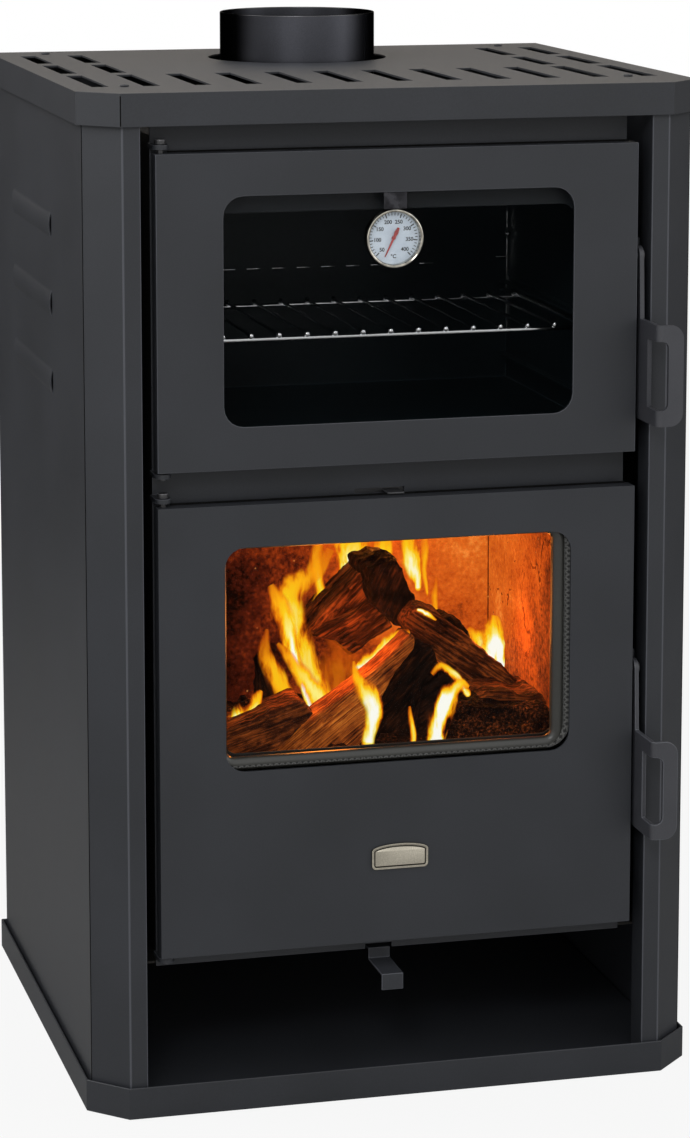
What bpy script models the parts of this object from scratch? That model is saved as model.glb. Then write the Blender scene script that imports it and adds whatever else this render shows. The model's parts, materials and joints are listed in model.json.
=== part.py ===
# Wood-burning stove with an oven above its firebox.
# Metres, +Z up, the doors face -Y, +X is the viewer's right.
# The origin is on the floor, at the centre of the base.

import math

import bmesh
import bpy
from mathutils import Matrix

# Gaps
touch = 0.0003              # between faces that rest on each other
pin_fit = 0.0001            # radial gap of a pin in its hole
slide_fit = 0.0005          # beside a piece that slides in a guide
cut_past = 0.010            # how far a cutter runs past the face it cuts

# Casing
cap_width = 0.566
cap_depth = 0.514
stove_height = 0.916        # floor to the top face of the cover
corner_cut = 0.033          # leg of the 45 degree cut at each front corner
lip_height = 0.029          # turned-down edge of the cover, turned-up edge of the base
casing_sheet = 0.002
casing_inset = 0.005        # casing walls behind the edge of the cover
post_width = 0.046          # corner post, seen from the front
post_return = 0.030
rear_flange = 0.020

# Slots in the cover
slot_width = 0.015
slot_side = 0.030           # side edge of the cover to the middle of the first slot
slot_columns = 12
short_columns = 2           # columns at each side that have the two rear rows too
slot_front = 0.0745         # front edge of the cover to the first row
front_slot = 0.1315         # length of the slots in the first row
middle_slot = 0.103         # length of the slots in the second row
front_bridge = 0.023        # metal between the first and second rows
rear_bridge = 0.0245        # metal between the second and third rows
slot_rear = 0.057           # third row to the rear edge of the cover

# Louvres in the side panels
louvre_height = 0.025
louvre_front_margin = 0.192
louvre_back_margin = 0.117
louvre_drop = 0.134         # middle of the top louvre under the cover's top face
louvre_pitch = 0.072
louvre_count = 3
louvre_proud = 0.0025
louvre_wall = 0.0012
louvre_slit = 0.0004        # beyond each end of a louvre
louvre_depth = 0.004        # how far a louvre's cutter reaches behind the panel's face

# Slots in the back panel
back_slot_length = 0.050
back_slot_height = 0.006
back_slot_round = 0.0027
back_slot_side = 0.083      # side edge of the cover to the middle of the first slot
back_slots = 6
back_slot_rise = 0.067      # lower row above the body's floor
back_slot_drop = 0.095      # upper row under the body's top

# Floor of the wood store
store_height = 0.129        # floor to the lower edge of the front frame
store_floor_height = 0.010
store_floor_sheet = 0.0015

# Inner body, a welded steel box behind the doors
frame_setback = 0.030       # front frame behind the door fronts
frame_sheet = 0.003
frame_gap = 0.014           # beside the frame, to each corner post
frame_drop = 0.023          # frame's upper edge under the cover's top face
body_inset = 0.004          # body inside the frame's edge, at the sides and below
body_drop = 0.018           # body's top under the frame's upper edge
body_wall = 0.004
body_clear = 0.042          # body's rear wall to the rear edge of the cover
step_depth = 0.0873         # lower rear wall in front of the upper one
step_below = 0.065          # the rear wall starts to slope this far under the oven
step_above = 0.005          # and stops this far above the oven's floor

# Openings in the front frame
opening_side = 0.018        # frame left at each side of an opening
opening_radius = 0.010
oven_sill = 0.0195          # oven opening above the lower edge of its door
oven_lintel = 0.0335        # and under the upper edge
fire_sill = 0.018
fire_lintel = 0.019

# Flue collar
flue_radius = 0.075
flue_wall = 0.002
flue_setback = 0.084        # flue's centre in front of the body's rear wall
flue_rise = 0.044           # collar's rim above the cover
flue_flange_radius = 0.086
flue_flange = 0.003
cover_hole_radius = 0.0865

# Doors
door_lap = 0.001            # doors wider than the frame, at each side
door_depth = 0.018
door_sheet = 0.003
door_rise = 0.016           # fire door above the frame's lower edge
door_drop = 0.0305          # oven door under the frame's upper edge
door_gap = 0.0315           # between the two doors
oven_share = 0.4067         # oven door's part of the height of both doors
window_side = 0.0595        # door left at each side of a window
window_end = 0.038          # door left above a window, and under the oven's
window_radius = 0.018
glass_margin = 0.013
glass_thickness = 0.004
glass_setback = 0.0146      # front face of the glass behind the door front
inner_sheet = 0.0025
oven_inner_side = -0.006    # how far each inner frame reaches inside its window
oven_inner_low = -0.006
oven_inner_high = 0.017
fire_inner_left = 0.003
fire_inner_right = 0.010
fire_inner_low = 0.012
fire_inner_high = 0.004
inner_radius = 0.012
seal_radius = 0.004
seal_offset = 0.0055        # seal's centre line outside the frame opening
seal_land = 0.0065          # from the seal's centre line to the inner frame's edge
gasket_radius = 0.0045
gasket_offset = 0.0085
glass_rope_radius = 0.004
bezel_radius = 0.005
bezel_left = -0.0035        # bezel's centre line inside the fire window, at each side
bezel_right = 0.0099
bezel_low = 0.006
bezel_high = -0.0035
bezel_corner = 0.012
rope_gap = 0.0004           # between the bezel and the rope round it

# Hinges
hinge_inset = 0.0065        # pins inside the door's left edge
hinge_back = 0.012          # pins behind the door front
hinge_pin_radius = 0.003
hinge_head_radius = 0.005
hinge_head_height = 0.0045
hinge_reach = 0.005         # how far a pin enters the door
hinge_tail = 0.006          # how far the lower pin enters its lug
lug_thickness = 0.004
lug_radius = 0.0075
upper_lug_gap = 0.0035
lower_lug_gap = 0.0020

# Handles: one bent plate each, which hooks behind a catch on the frame
handle_plate = 0.004
handle_gap = 0.0035         # between the door's edge and the upright plate
handle_reach = 0.046        # in front of the door
handle_fold = 0.025         # width of the folded front
handle_fold_radius = 0.006
handle_clear = 0.016        # upright plate's rear edge in front of the frame
handle_corner = 0.012
grip_height = 0.091
grip_below_pivot = 0.056    # top of the grip under the pivot
grip_border = 0.0145        # plate left above and under the finger slot
grip_radius = 0.006
slot_reach = 0.011          # finger slot's side from the upright plate's inner face
slot_clear = 0.020          # finger slot's end in front of the door
pivot_back = 0.012          # pivots behind the door front
oven_pivot_drop = 0.1025    # pivot under the upper edge of its door
fire_pivot_drop = 0.171
pivot_pin_radius = 0.003
pivot_collar_radius = 0.0045
pivot_head_radius = 0.005
pivot_head = 0.002
pivot_reach = 0.005         # how far the pin enters the door
arm_radius = 0.0085
hook_back = 0.00765
hook_low = -0.0075
nose_reach = 0.0158
nose_lip = 0.003
nose_low = -0.006
nose_step = 0.0005
nose_high = 0.0055
catch_gap = 0.001
catch_sheet = 0.0025
catch_low = 0.0015          # lower edge of the catch above the pivot
catch_high = 0.0145
catch_foot_low = 0.0045
catch_foot_high = 0.0245
catch_foot_reach = 0.012    # foot's inner end from the upright plate's inner face
catch_width = 0.008

# Thermometer, hung in the oven window
gauge_x = -0.0045
gauge_drop = 0.0415         # dial centre under the window's upper edge
gauge_radius = 0.026
gauge_front = 0.002         # bezel behind the door front
gauge_depth = 0.010
gauge_wall = 0.0012
gauge_lip = 0.0035
gauge_lip_depth = 0.0016
dial_depth = 0.0070         # dial face behind the bezel's front
lens_thickness = 0.001
needle_tip = 0.0185
needle_tail = 0.0100
needle_half_width = 0.0009
needle_tip_half = 0.00045
needle_tail_half = 0.0018
needle_thickness = 0.0008
needle_gap = 0.0012
needle_hub_radius = 0.0018
needle_rest = 206.0         # degrees clockwise from upright
hanger_width = 0.021
hanger_sheet = 0.001

# Badge plate, bare
badge_width = 0.0525
badge_height = 0.0175       # straight side; the arch is on top of it
badge_arch = 0.006
badge_rise = 0.0674         # above the fire door's lower edge
badge_sheet = 0.002
badge_radius = 0.004

# Oven
oven_gap = 0.0035           # between the oven and the body's side walls
oven_wall = 0.003
oven_below = 0.008          # oven's floor under its opening
oven_above = 0.009          # oven's top above its opening
oven_clear = 0.0301         # oven's rear wall in front of the lower rear wall
runner_low = 0.029          # height of each rib above the oven's lower face
runner_high = 0.093
runner_keeper = 0.101
runner_edge = 0.003
runner_sheet = 0.0015
runner_depth = 0.010
runner_front = 0.014        # behind the frame
runner_back = 0.0096        # in front of the oven's rear wall
rack_gap = 0.005            # between the rack and the oven's side walls
rack_front = 0.020          # behind the frame
rack_back = 0.0816          # in front of the oven's rear wall
rack_wire = 0.004
rack_pitch = 0.0257
rack_shift = 0.0055         # middle wire to the right of the stove's middle
baffle_sheet = 0.003
baffle_gap = 0.015          # between the oven and the baffle
baffle_front = 0.099        # behind the frame

# Firebox
hearth_drop = 0.045         # hearth plate's lower face under the fire window
hearth_sheet = 0.006
brick_thickness = 0.024
back_brick_thickness = 0.032
brick_drop = 0.014          # top of the bricks under the top of the fire window
grate_side = 0.105          # grate's side to the body's side wall
grate_front = 0.049         # behind the frame
grate_back = 0.0577         # in front of the lower rear wall
grate_rest = 0.010          # how far the grate overlaps the hole in the hearth plate
grate_thickness = 0.010
grate_slot = 0.010
grate_pitch = 0.021
grate_bar = 0.012
guard_height = 0.043
guard_sheet = 0.003
guard_foot = 0.022
guard_side = 0.020          # guard's end inside the opening
pan_side = 0.050            # pan's side inside the opening
pan_front = 0.021           # behind the frame
pan_back = 0.0427           # in front of the lower rear wall
pan_height = 0.068
pan_sheet = 0.0015
rail_sheet = 0.0023
rail_drop = 0.025
rail_under = 0.019          # how far a rail reaches under the body

# Primary air: a lever under the fire door, with a damper under the body's floor
lever_x = -0.0115
lever_width = 0.020
lever_sheet = 0.002
lever_reach = 0.019         # lever's front in front of the doors
lever_lip = 0.015
lever_step = 0.0099
lever_tab = 0.0025          # upright part in front of the frame
lever_tail = 0.015          # behind the air hole
air_hole_side = 0.030       # half width of the air hole
air_hole_front = 0.144      # behind the frame
air_hole_length = 0.040
damper_margin = 0.010
damper_sheet = 0.002
guide_setback = 0.029       # behind the frame
guide_length = 0.030
guide_sheet = 0.0015
notch_width = 0.025
notch_height = 0.0045

# Secondary air: a slide behind the frame, moved by a tab between the doors
slide_rise = 0.00175        # middle of the tab above the fire door
slide_x = -0.0007           # middle of the tab
slide_tab_width = 0.0154
slide_tab_sheet = 0.0015
slide_tab_reach = 0.018
slide_slot_left = 0.0261    # slot in the frame beyond the tab
slide_slot_right = 0.0050
slide_slot_height = 0.0045
slide_strip_left = 0.0516   # strip beyond the tab
slide_strip_right = 0.0230
slide_strip_height = 0.018
slide_strip_sheet = 0.0015
channel_left = 0.040        # channel beyond the strip
channel_right = 0.015
channel_wall = 0.003

# Worked out from the sizes above
half_width = cap_width / 2 - casing_inset
half_depth = cap_depth / 2 - casing_inset
casing_cut = corner_cut - casing_inset * (2 - math.sqrt(2))
seam_y = casing_cut - half_depth
wall_low = casing_sheet + touch
wall_high = stove_height - casing_sheet - touch
front_half = half_width - post_width
door_front = -half_depth
door_back = door_front + door_depth
frame_front = door_front + frame_setback
frame_back = frame_front + frame_sheet
frame_half = front_half - frame_gap
frame_bottom = store_height
frame_top = stove_height - frame_drop
body_front = frame_back + touch
body_half = frame_half - body_inset
body_inner = body_half - body_wall
body_bottom = frame_bottom + body_inset
body_top = frame_top - body_drop
body_back = cap_depth / 2 - body_clear
firebox_back = body_back - step_depth
flue_y = body_back - flue_setback
door_half = frame_half + door_lap
doors_low = frame_bottom + door_rise
doors_high = frame_top - door_drop
oven_door_height = (doors_high - doors_low - door_gap) * oven_share
oven_door = (doors_high - oven_door_height, doors_high)
fire_door = (doors_low, oven_door[0] - door_gap)
window_half = door_half - window_side
window_height = oven_door_height - 2 * window_end
oven_window = (oven_door[1] - window_end - window_height, oven_door[1] - window_end)
fire_window = (fire_door[1] - window_end - window_height, fire_door[1] - window_end)
oven_view = (
    oven_inner_side - window_half, window_half - oven_inner_side,
    oven_window[0] + oven_inner_low, oven_window[1] - oven_inner_high,
)
fire_view = (
    fire_inner_left - window_half, window_half - fire_inner_right,
    fire_window[0] + fire_inner_low, fire_window[1] - fire_inner_high,
)
opening_half = frame_half - opening_side
oven_opening = (oven_door[0] + oven_sill, oven_door[1] - oven_lintel)
fire_opening = (fire_door[0] + fire_sill, fire_door[1] - fire_lintel)
glass_front = door_front + glass_setback
glass_back = glass_front + glass_thickness
panel_back = door_front + door_sheet
inner_front = glass_back + touch
inner_back = inner_front + inner_sheet
hinge_x = hinge_inset - door_half
hinge_y = door_front + hinge_back
handle_x = door_half + handle_gap
pivot_y = door_front + pivot_back
oven_pivot_z = oven_door[1] - oven_pivot_drop
fire_pivot_z = fire_door[1] - fire_pivot_drop
oven_half = body_inner - oven_gap
oven_low = oven_opening[0] - oven_below
oven_high = oven_opening[1] + oven_above
oven_back = firebox_back - oven_clear
oven_end = oven_back - oven_wall
rack_half = oven_half - oven_wall - rack_gap
rack_level = oven_low + runner_high
rack_ends = (frame_back + rack_front, oven_end - rack_back)
hearth_level = fire_window[0] - hearth_drop
brick_top = fire_window[1] - brick_drop
grate_half = body_inner - grate_side
grate_ends = (frame_back + grate_front, firebox_back - grate_back)
air_hole = (frame_back + air_hole_front, frame_back + air_hole_front + air_hole_length)
slide_level = fire_door[1] + slide_rise
slide_tab = (slide_x - slide_tab_width / 2, slide_x + slide_tab_width / 2)
slide_strip = (slide_tab[0] - slide_strip_left, slide_tab[1] + slide_strip_right)

for old in list(bpy.data.objects):
    bpy.data.objects.remove(old, do_unlink=True)

stove = bpy.data.collections.new("wood_stove_with_oven")
cutters = bpy.data.collections.new("cutters")
bpy.context.scene.collection.children.link(stove)
bpy.context.scene.collection.children.link(cutters)

# Colour, metallic and roughness of each material
finishes = {
    "stove_paint": ((0.050, 0.051, 0.054), 0.0, 0.62),
    "inner_steel": ((0.035, 0.035, 0.037), 0.3, 0.65),
    "cast_iron": ((0.030, 0.029, 0.028), 0.4, 0.75),
    "firebrick": ((0.480, 0.330, 0.210), 0.0, 0.90),
    "door_glass": ((0.600, 0.640, 0.650), 0.0, 0.05),
    "seal_rope": ((0.160, 0.160, 0.155), 0.0, 0.95),
    "chrome": ((0.700, 0.700, 0.710), 1.0, 0.12),
    "bright_steel": ((0.520, 0.520, 0.530), 1.0, 0.30),
    "oven_enamel": ((0.012, 0.018, 0.022), 0.0, 0.25),
    "dial_face": ((0.720, 0.760, 0.780), 0.0, 0.45),
    "needle_paint": ((0.350, 0.030, 0.020), 0.0, 0.50),
    "badge_metal": ((0.300, 0.285, 0.260), 1.0, 0.35),
}


def material(name, finish):
    """A material of its own for one piece, in one of the finishes."""
    colour, metallic, roughness = finishes[finish]
    result = bpy.data.materials.new(name + "_" + finish)
    result.use_nodes = True
    shader = result.node_tree.nodes["Principled BSDF"]
    shader.inputs["Base Color"].default_value = (*colour, 1.0)
    shader.inputs["Metallic"].default_value = metallic
    shader.inputs["Roughness"].default_value = roughness
    return result


def place(obj, finish):
    """Puts a finished piece in the stove's collection and gives it its material."""
    if finish is None:
        cutters.objects.link(obj)
        obj.hide_render = True
        obj.display_type = "WIRE"
    else:
        stove.objects.link(obj)
        obj.data.materials.clear()
        obj.data.materials.append(material(obj.name, finish))
    return obj


def solid(name, mesh, finish):
    return place(bpy.data.objects.new(name, mesh), finish)


def blocks(name, boxes, finish=None):
    """One or more boxes, each given by its lowest and highest corner."""
    bm = bmesh.new()
    for low, high in boxes:
        size = [b - a for a, b in zip(low, high)]
        middle = [(a + b) / 2 for a, b in zip(low, high)]
        shape = Matrix.Translation(middle) @ Matrix.Diagonal((*size, 1.0))
        bmesh.ops.create_cube(bm, size=1.0, matrix=shape)
    mesh = bpy.data.meshes.new(name)
    bm.to_mesh(mesh)
    bm.free()
    return solid(name, mesh, finish)


def block(name, x, y, z, finish=None):
    return blocks(name, [((x[0], y[0], z[0]), (x[1], y[1], z[1]))], finish)


def welded(curve_object):
    """The mesh of a curve object in world space, with its loose caps welded on."""
    cutters.objects.link(curve_object)
    bpy.context.view_layer.update()
    graph = bpy.context.evaluated_depsgraph_get()
    mesh = bpy.data.meshes.new_from_object(curve_object.evaluated_get(graph))
    mesh.transform(curve_object.matrix_world)
    curve = curve_object.data
    bpy.data.objects.remove(curve_object, do_unlink=True)
    bpy.data.curves.remove(curve)
    bm = bmesh.new()
    bm.from_mesh(mesh)
    bmesh.ops.remove_doubles(bm, verts=bm.verts, dist=0.000001)
    bmesh.ops.recalc_face_normals(bm, faces=bm.faces)
    bm.to_mesh(mesh)
    bm.free()
    return mesh


# Plane coordinates and depth of a flat outline, turned into world space.
# Along X the outline is drawn in (y, z), along Y in (x, z), along Z in (x, y).
turns = {
    "X": Matrix(((0, 0, 1, 0), (1, 0, 0, 0), (0, 1, 0, 0), (0, 0, 0, 1))),
    "Y": Matrix(((1, 0, 0, 0), (0, 0, -1, 0), (0, 1, 0, 0), (0, 0, 0, 1))),
    "Z": Matrix.Identity(4),
}


def plate(name, axis, ends, outlines, finish=None):
    """A flat outline, with any holes after it, extruded between two places on an axis."""
    curve = bpy.data.curves.new(name, "CURVE")
    curve.dimensions = "2D"
    curve.fill_mode = "BOTH"
    curve.extrude = abs(ends[1] - ends[0]) / 2
    for outline in outlines:
        spline = curve.splines.new("POLY")
        spline.points.add(len(outline) - 1)
        for point, (u, v) in zip(spline.points, outline):
            point.co = (u, v, 0.0, 1.0)
        spline.use_cyclic_u = True
    guide = bpy.data.objects.new(name + "_outline", curve)
    shift = {"X": (1, 0, 0), "Y": (0, 1, 0), "Z": (0, 0, 1)}[axis]
    middle = (ends[0] + ends[1]) / 2
    guide.matrix_world = Matrix.Translation([middle * s for s in shift]) @ turns[axis]
    mesh = welded(guide)
    mesh.name = name
    return solid(name, mesh, finish)


def ring(name, path, y, radius, finish):
    """A round cord along a closed path in a plane parallel to the doors."""
    curve = bpy.data.curves.new(name, "CURVE")
    curve.dimensions = "3D"
    curve.bevel_depth = radius
    curve.bevel_resolution = 2
    spline = curve.splines.new("POLY")
    spline.points.add(len(path) - 1)
    for point, (u, v) in zip(spline.points, path):
        point.co = (u, y, v, 1.0)
    spline.use_cyclic_u = True
    mesh = welded(bpy.data.objects.new(name + "_path", curve))
    mesh.name = name
    mesh.shade_smooth()
    return solid(name, mesh, finish)


def turned(name, profile, place_at, finish, closed=False, steps=32):
    """A turned piece: (radius, height) points that run down the outer side, about Z."""
    mesh = bpy.data.meshes.new(name)
    verts = [(r, 0.0, h) for r, h in profile]
    edges = [(i, i + 1) for i in range(len(verts) - 1)]
    if closed:
        edges.append((len(verts) - 1, 0))
    mesh.from_pydata(verts, edges, [])
    obj = solid(name, mesh, finish)
    screw = obj.modifiers.new("Screw", "SCREW")
    screw.steps = steps
    screw.render_steps = steps
    screw.use_merge_vertices = True
    screw.merge_threshold = 0.00001
    screw.use_smooth_shade = False
    obj.matrix_world = place_at
    return obj


def cylinder(name, radius, low, high, place_at, steps=32):
    return turned(name, [(0, high), (radius, high), (radius, low), (0, low)], place_at, None, steps=steps)


def combine(obj, other, how):
    """Cuts a piece with a helper, joins the helper to it, or keeps what they share."""
    change = obj.modifiers.new(other.name, "BOOLEAN")
    change.operation = how
    change.solver = "EXACT"
    change.object = other
    return obj


def cut(obj, *others):
    for other in others:
        combine(obj, other, "DIFFERENCE")
    return obj


def join(obj, *others):
    for other in others:
        combine(obj, other, "UNION")
    return obj


def arc(cx, cy, radius, start, end, steps):
    """Points on an arc, from one angle to another, in degrees."""
    points = []
    for i in range(steps + 1):
        angle = math.radians(start + (end - start) * i / steps)
        points.append((cx + radius * math.cos(angle), cy + radius * math.sin(angle)))
    return points


def rectangle(left, right, low, high):
    return [(left, low), (right, low), (right, high), (left, high)]


def rounded(left, right, low, high, radius, steps=5):
    """A rectangle with round corners, anticlockwise."""
    return (
        arc(left + radius, low + radius, radius, 180, 270, steps)
        + arc(right - radius, low + radius, radius, 270, 360, steps)
        + arc(right - radius, high - radius, radius, 0, 90, steps)
        + arc(left + radius, high - radius, radius, 90, 180, steps)
    )


def cabinet(inset):
    """Plan outline of the cabinet, which has its two front corners cut off."""
    w = cap_width / 2 - inset
    d = cap_depth / 2 - inset
    c = corner_cut - inset * (2 - math.sqrt(2))
    return [(-w, d), (-w, c - d), (c - w, -d), (w - c, -d), (w, c - d), (w, d)]


def mirrored(points, side):
    return [(side * u, v) for u, v in points]


def span(side, near, far):
    """Lowest and highest x of a piece between two distances from the middle."""
    return tuple(sorted((side * near, side * far)))


def carrier(name, location, carried, parent=None):
    """An empty on a joint's axis, with the pieces that move with it as its children."""
    empty = bpy.data.objects.new(name, None)
    empty.empty_display_size = 0.02
    empty.location = location
    stove.objects.link(empty)
    if parent is not None:
        empty.parent = parent
        empty.matrix_parent_inverse = Matrix.Translation(parent.matrix_world.translation).inverted()
    bpy.context.view_layer.update()
    for obj in carried:
        obj.parent = empty
        obj.matrix_parent_inverse = Matrix.Translation(location).inverted()
    bpy.context.view_layer.update()
    return empty


# Casing

def make_base():
    base = plate("base_tray", "Z", (0, lip_height), [cabinet(0)], "stove_paint")
    hollow = plate("base_hollow", "Z", (casing_sheet, lip_height + cut_past), [cabinet(casing_sheet)])
    cut(base, hollow)

    side = half_width - casing_sheet - 2 * slide_fit - store_floor_sheet
    front_side = front_half - casing_sheet - slide_fit
    front = casing_sheet + touch - cap_depth / 2
    step = post_return - half_depth + 2 * slide_fit
    back = half_depth - 2 * casing_sheet - 2 * touch
    top = wall_low + store_floor_height
    sheet = store_floor_sheet
    under = (wall_low - cut_past, top - sheet)
    floor = block("wood_store_floor", (-side, side), (step, back), (wall_low, top), "stove_paint")
    tongue = block("store_floor_tongue", (-front_side, front_side), (front, step + sheet), (wall_low, top))
    hollow = block("store_floor_hollow", (sheet - side, side - sheet), (step + sheet, back - sheet), under)
    tongue_hollow = block(
        "tongue_hollow", (sheet - front_side, front_side - sheet), (front + sheet, step + 2 * sheet), under,
    )
    cut(join(floor, tongue), hollow, tongue_hollow)


def make_side_panel(side, name):
    w = half_width
    s = casing_sheet
    start = seam_y + touch
    section = [
        (w, start), (w, half_depth), (w - rear_flange, half_depth),
        (w - rear_flange, half_depth - s), (w - s, half_depth - s), (w - s, start),
    ]
    panel = plate(name, "Z", (wall_low, wall_high), [mirrored(section, side)], "stove_paint")
    # Each louvre is a strip that stays joined along its long edges and is sheared at its ends
    half = louvre_height / 2
    bow = (half ** 2 + louvre_proud ** 2) / (2 * louvre_proud)
    centre = w + louvre_proud - bow
    spread = math.degrees(math.asin(half / bow))
    inner_bow = bow - louvre_wall
    inner_spread = math.degrees(math.acos((w - louvre_depth - centre) / inner_bow))
    ends = (louvre_front_margin - cap_depth / 2, cap_depth / 2 - louvre_back_margin)
    slit_ends = (ends[0] - louvre_slit, ends[1] + louvre_slit)
    hoods = []
    mouths = []
    for i in range(louvre_count):
        level = stove_height - louvre_drop - i * louvre_pitch
        hood = arc(centre, level, bow, -spread, spread, 8)
        hood += [(w - s / 2, level + half), (w - s / 2, level - half)]
        mouth = arc(centre, level, inner_bow, -inner_spread, inner_spread, 10)
        tag = name + "_louvre_%d" % i
        hoods.append(plate(tag + "_hood", "Y", ends, [mirrored(hood, side)]))
        mouths.append(plate(tag + "_mouth", "Y", slit_ends, [mirrored(mouth, side)]))
    join(panel, *hoods)
    cut(panel, *mouths)


def make_corner_post(side, name):
    w = half_width
    s = casing_sheet
    inner = front_half
    skew = s * math.sqrt(2)
    section = [
        (w, seam_y), (w - casing_cut, -half_depth), (inner, -half_depth),
        (inner, post_return - half_depth), (inner + s, post_return - half_depth),
        (inner + s, s - half_depth), (w - casing_cut + s - skew, s - half_depth), (w - skew, seam_y),
    ]
    plate(name, "Z", (wall_low, wall_high), [mirrored(section, side)], "stove_paint")


def make_back_panel():
    side = half_width - casing_sheet - touch
    back = half_depth - casing_sheet - touch
    pitch = (cap_width - 2 * back_slot_side) / (back_slots - 1)
    slots = []
    for level in (body_bottom + back_slot_rise, body_top - back_slot_drop):
        for i in range(back_slots):
            middle = (i - (back_slots - 1) / 2) * pitch
            slots.append(rounded(
                middle - back_slot_length / 2, middle + back_slot_length / 2,
                level - back_slot_height / 2, level + back_slot_height / 2,
                back_slot_round, 2,
            ))
    outline = rectangle(-side, side, wall_low, wall_high)
    plate("back_panel", "Y", (back - casing_sheet, back), [outline] + slots, "stove_paint")


def make_top_cover():
    low = stove_height - lip_height
    cover = plate("top_cover", "Z", (low, stove_height), [cabinet(0)], "stove_paint")
    hollow = plate(
        "cover_hollow", "Z", (low - cut_past, stove_height - casing_sheet), [cabinet(casing_sheet)],
    )
    hole = cylinder(
        "cover_hole", cover_hole_radius, stove_height - cut_past, stove_height + cut_past,
        Matrix.Translation((0, flue_y, 0)), 48,
    )
    first = slot_front - cap_depth / 2
    second = first + front_slot + front_bridge
    third = second + middle_slot + rear_bridge
    rows = [(first, first + front_slot), (second, second + middle_slot), (third, cap_depth / 2 - slot_rear)]
    pitch = (cap_width - 2 * slot_side) / (slot_columns - 1)
    slots = []
    for column in range(slot_columns):
        x = (column - (slot_columns - 1) / 2) * pitch
        at_side = column < short_columns or column >= slot_columns - short_columns
        for front, back in rows if at_side else rows[:1]:
            low_corner = (x - slot_width / 2, front, stove_height - cut_past)
            high_corner = (x + slot_width / 2, back, stove_height + cut_past)
            slots.append((low_corner, high_corner))
    cut(cover, hollow, hole, blocks("cover_slots", slots))


# Inner body

def make_front_frame():
    half = frame_half
    notch = notch_width / 2
    outline = [
        (-half, frame_bottom), (lever_x - notch, frame_bottom),
        (lever_x - notch, frame_bottom + notch_height), (lever_x + notch, frame_bottom + notch_height),
        (lever_x + notch, frame_bottom), (half, frame_bottom), (half, frame_top), (-half, frame_top),
    ]
    side = opening_half
    slot_half = slide_slot_height / 2
    slot_left = slide_tab[0] - slide_slot_left
    slot_right = slide_tab[1] + slide_slot_right
    holes = [
        rounded(-side, side, *oven_opening, opening_radius),
        rounded(-side, side, *fire_opening, opening_radius),
        rectangle(slot_left, slot_right, slide_level - slot_half, slide_level + slot_half),
    ]
    frame = plate("front_frame", "Y", (frame_front, frame_back), [outline] + holes, "stove_paint")
    for door_name, door in (("oven", oven_door), ("fire", fire_door)):
        upper = door[1] + upper_lug_gap
        lower = door[0] - lower_lug_gap - lug_thickness
        for level_name, low in (("upper", upper), ("lower", lower)):
            root = frame_front + frame_sheet / 2
            outline = [(hinge_x + lug_radius, root), (hinge_x - lug_radius, root)]
            outline += arc(hinge_x, hinge_y, lug_radius, 180, 360, 8)
            tag = door_name + "_" + level_name
            join(frame, plate(tag + "_lug", "Z", (low, low + lug_thickness), [outline]))
            hole = cylinder(
                tag + "_lug_hole", hinge_pin_radius + pin_fit, low - cut_past,
                low + lug_thickness + cut_past, Matrix.Translation((hinge_x, hinge_y, 0)), 24,
            )
            cut(frame, hole)


def make_body_shell():
    step_low = oven_low - step_below
    step_high = oven_low + step_above
    outer = [
        (body_front, body_bottom), (firebox_back, body_bottom), (firebox_back, step_low),
        (body_back, step_high), (body_back, body_top), (body_front, body_top),
    ]
    slope = math.atan2(body_back - firebox_back, step_high - step_low)
    shift = body_wall * math.tan(slope / 2)
    front = body_front - cut_past
    inner = [
        (front, body_bottom + body_wall), (firebox_back - body_wall, body_bottom + body_wall),
        (firebox_back - body_wall, step_low + shift), (body_back - body_wall, step_high + shift),
        (body_back - body_wall, body_top - body_wall), (front, body_top - body_wall),
    ]
    shell = plate("body_shell", "X", (-body_half, body_half), [outer], "inner_steel")
    hollow = plate("body_hollow", "X", (-body_inner, body_inner), [inner])
    flue_hole = cylinder(
        "body_flue_hole", flue_radius - flue_wall, body_top - cut_past, body_top + cut_past,
        Matrix.Translation((0, flue_y, 0)), 48,
    )
    air = block(
        "body_air_hole", (lever_x - air_hole_side, lever_x + air_hole_side), air_hole,
        (body_bottom - cut_past, body_bottom + cut_past),
    )
    cut(shell, hollow, flue_hole, air)


def make_flue_collar():
    foot = body_top + touch
    inner = flue_radius - flue_wall
    rim = stove_height + flue_rise
    profile = [
        (flue_radius, rim), (flue_radius, foot + flue_flange),
        (flue_flange_radius, foot + flue_flange), (flue_flange_radius, foot),
        (inner, foot), (inner, rim),
    ]
    turned(
        "flue_collar", profile, Matrix.Translation((0, flue_y, 0)), "stove_paint", closed=True, steps=64,
    )


def make_support_rail(side, name):
    high = body_bottom - touch
    low = high - rail_sheet
    wall = half_width - casing_sheet - touch
    section = [
        (wall, low - rail_drop), (wall, high), (body_half - rail_under, high),
        (body_half - rail_under, low), (wall - rail_sheet, low), (wall - rail_sheet, low - rail_drop),
    ]
    ends = (body_front, firebox_back)
    plate(name, "Y", ends, [mirrored(section, side)], "inner_steel")


# Oven

def make_oven():
    side = oven_half
    oven = block(
        "oven_box", (-side, side), (body_front, oven_back), (oven_low, oven_high), "oven_enamel",
    )
    hollow = block(
        "oven_hollow", (oven_wall - side, side - oven_wall), (body_front - cut_past, oven_end),
        (oven_low + oven_wall, oven_high - oven_wall),
    )
    cut(oven, hollow)
    block(
        "smoke_baffle", (touch - body_inner, body_inner - touch),
        (frame_back + baffle_front, body_back - body_wall - touch),
        (oven_high + baffle_gap, oven_high + baffle_gap + baffle_sheet), "inner_steel",
    )


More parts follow.
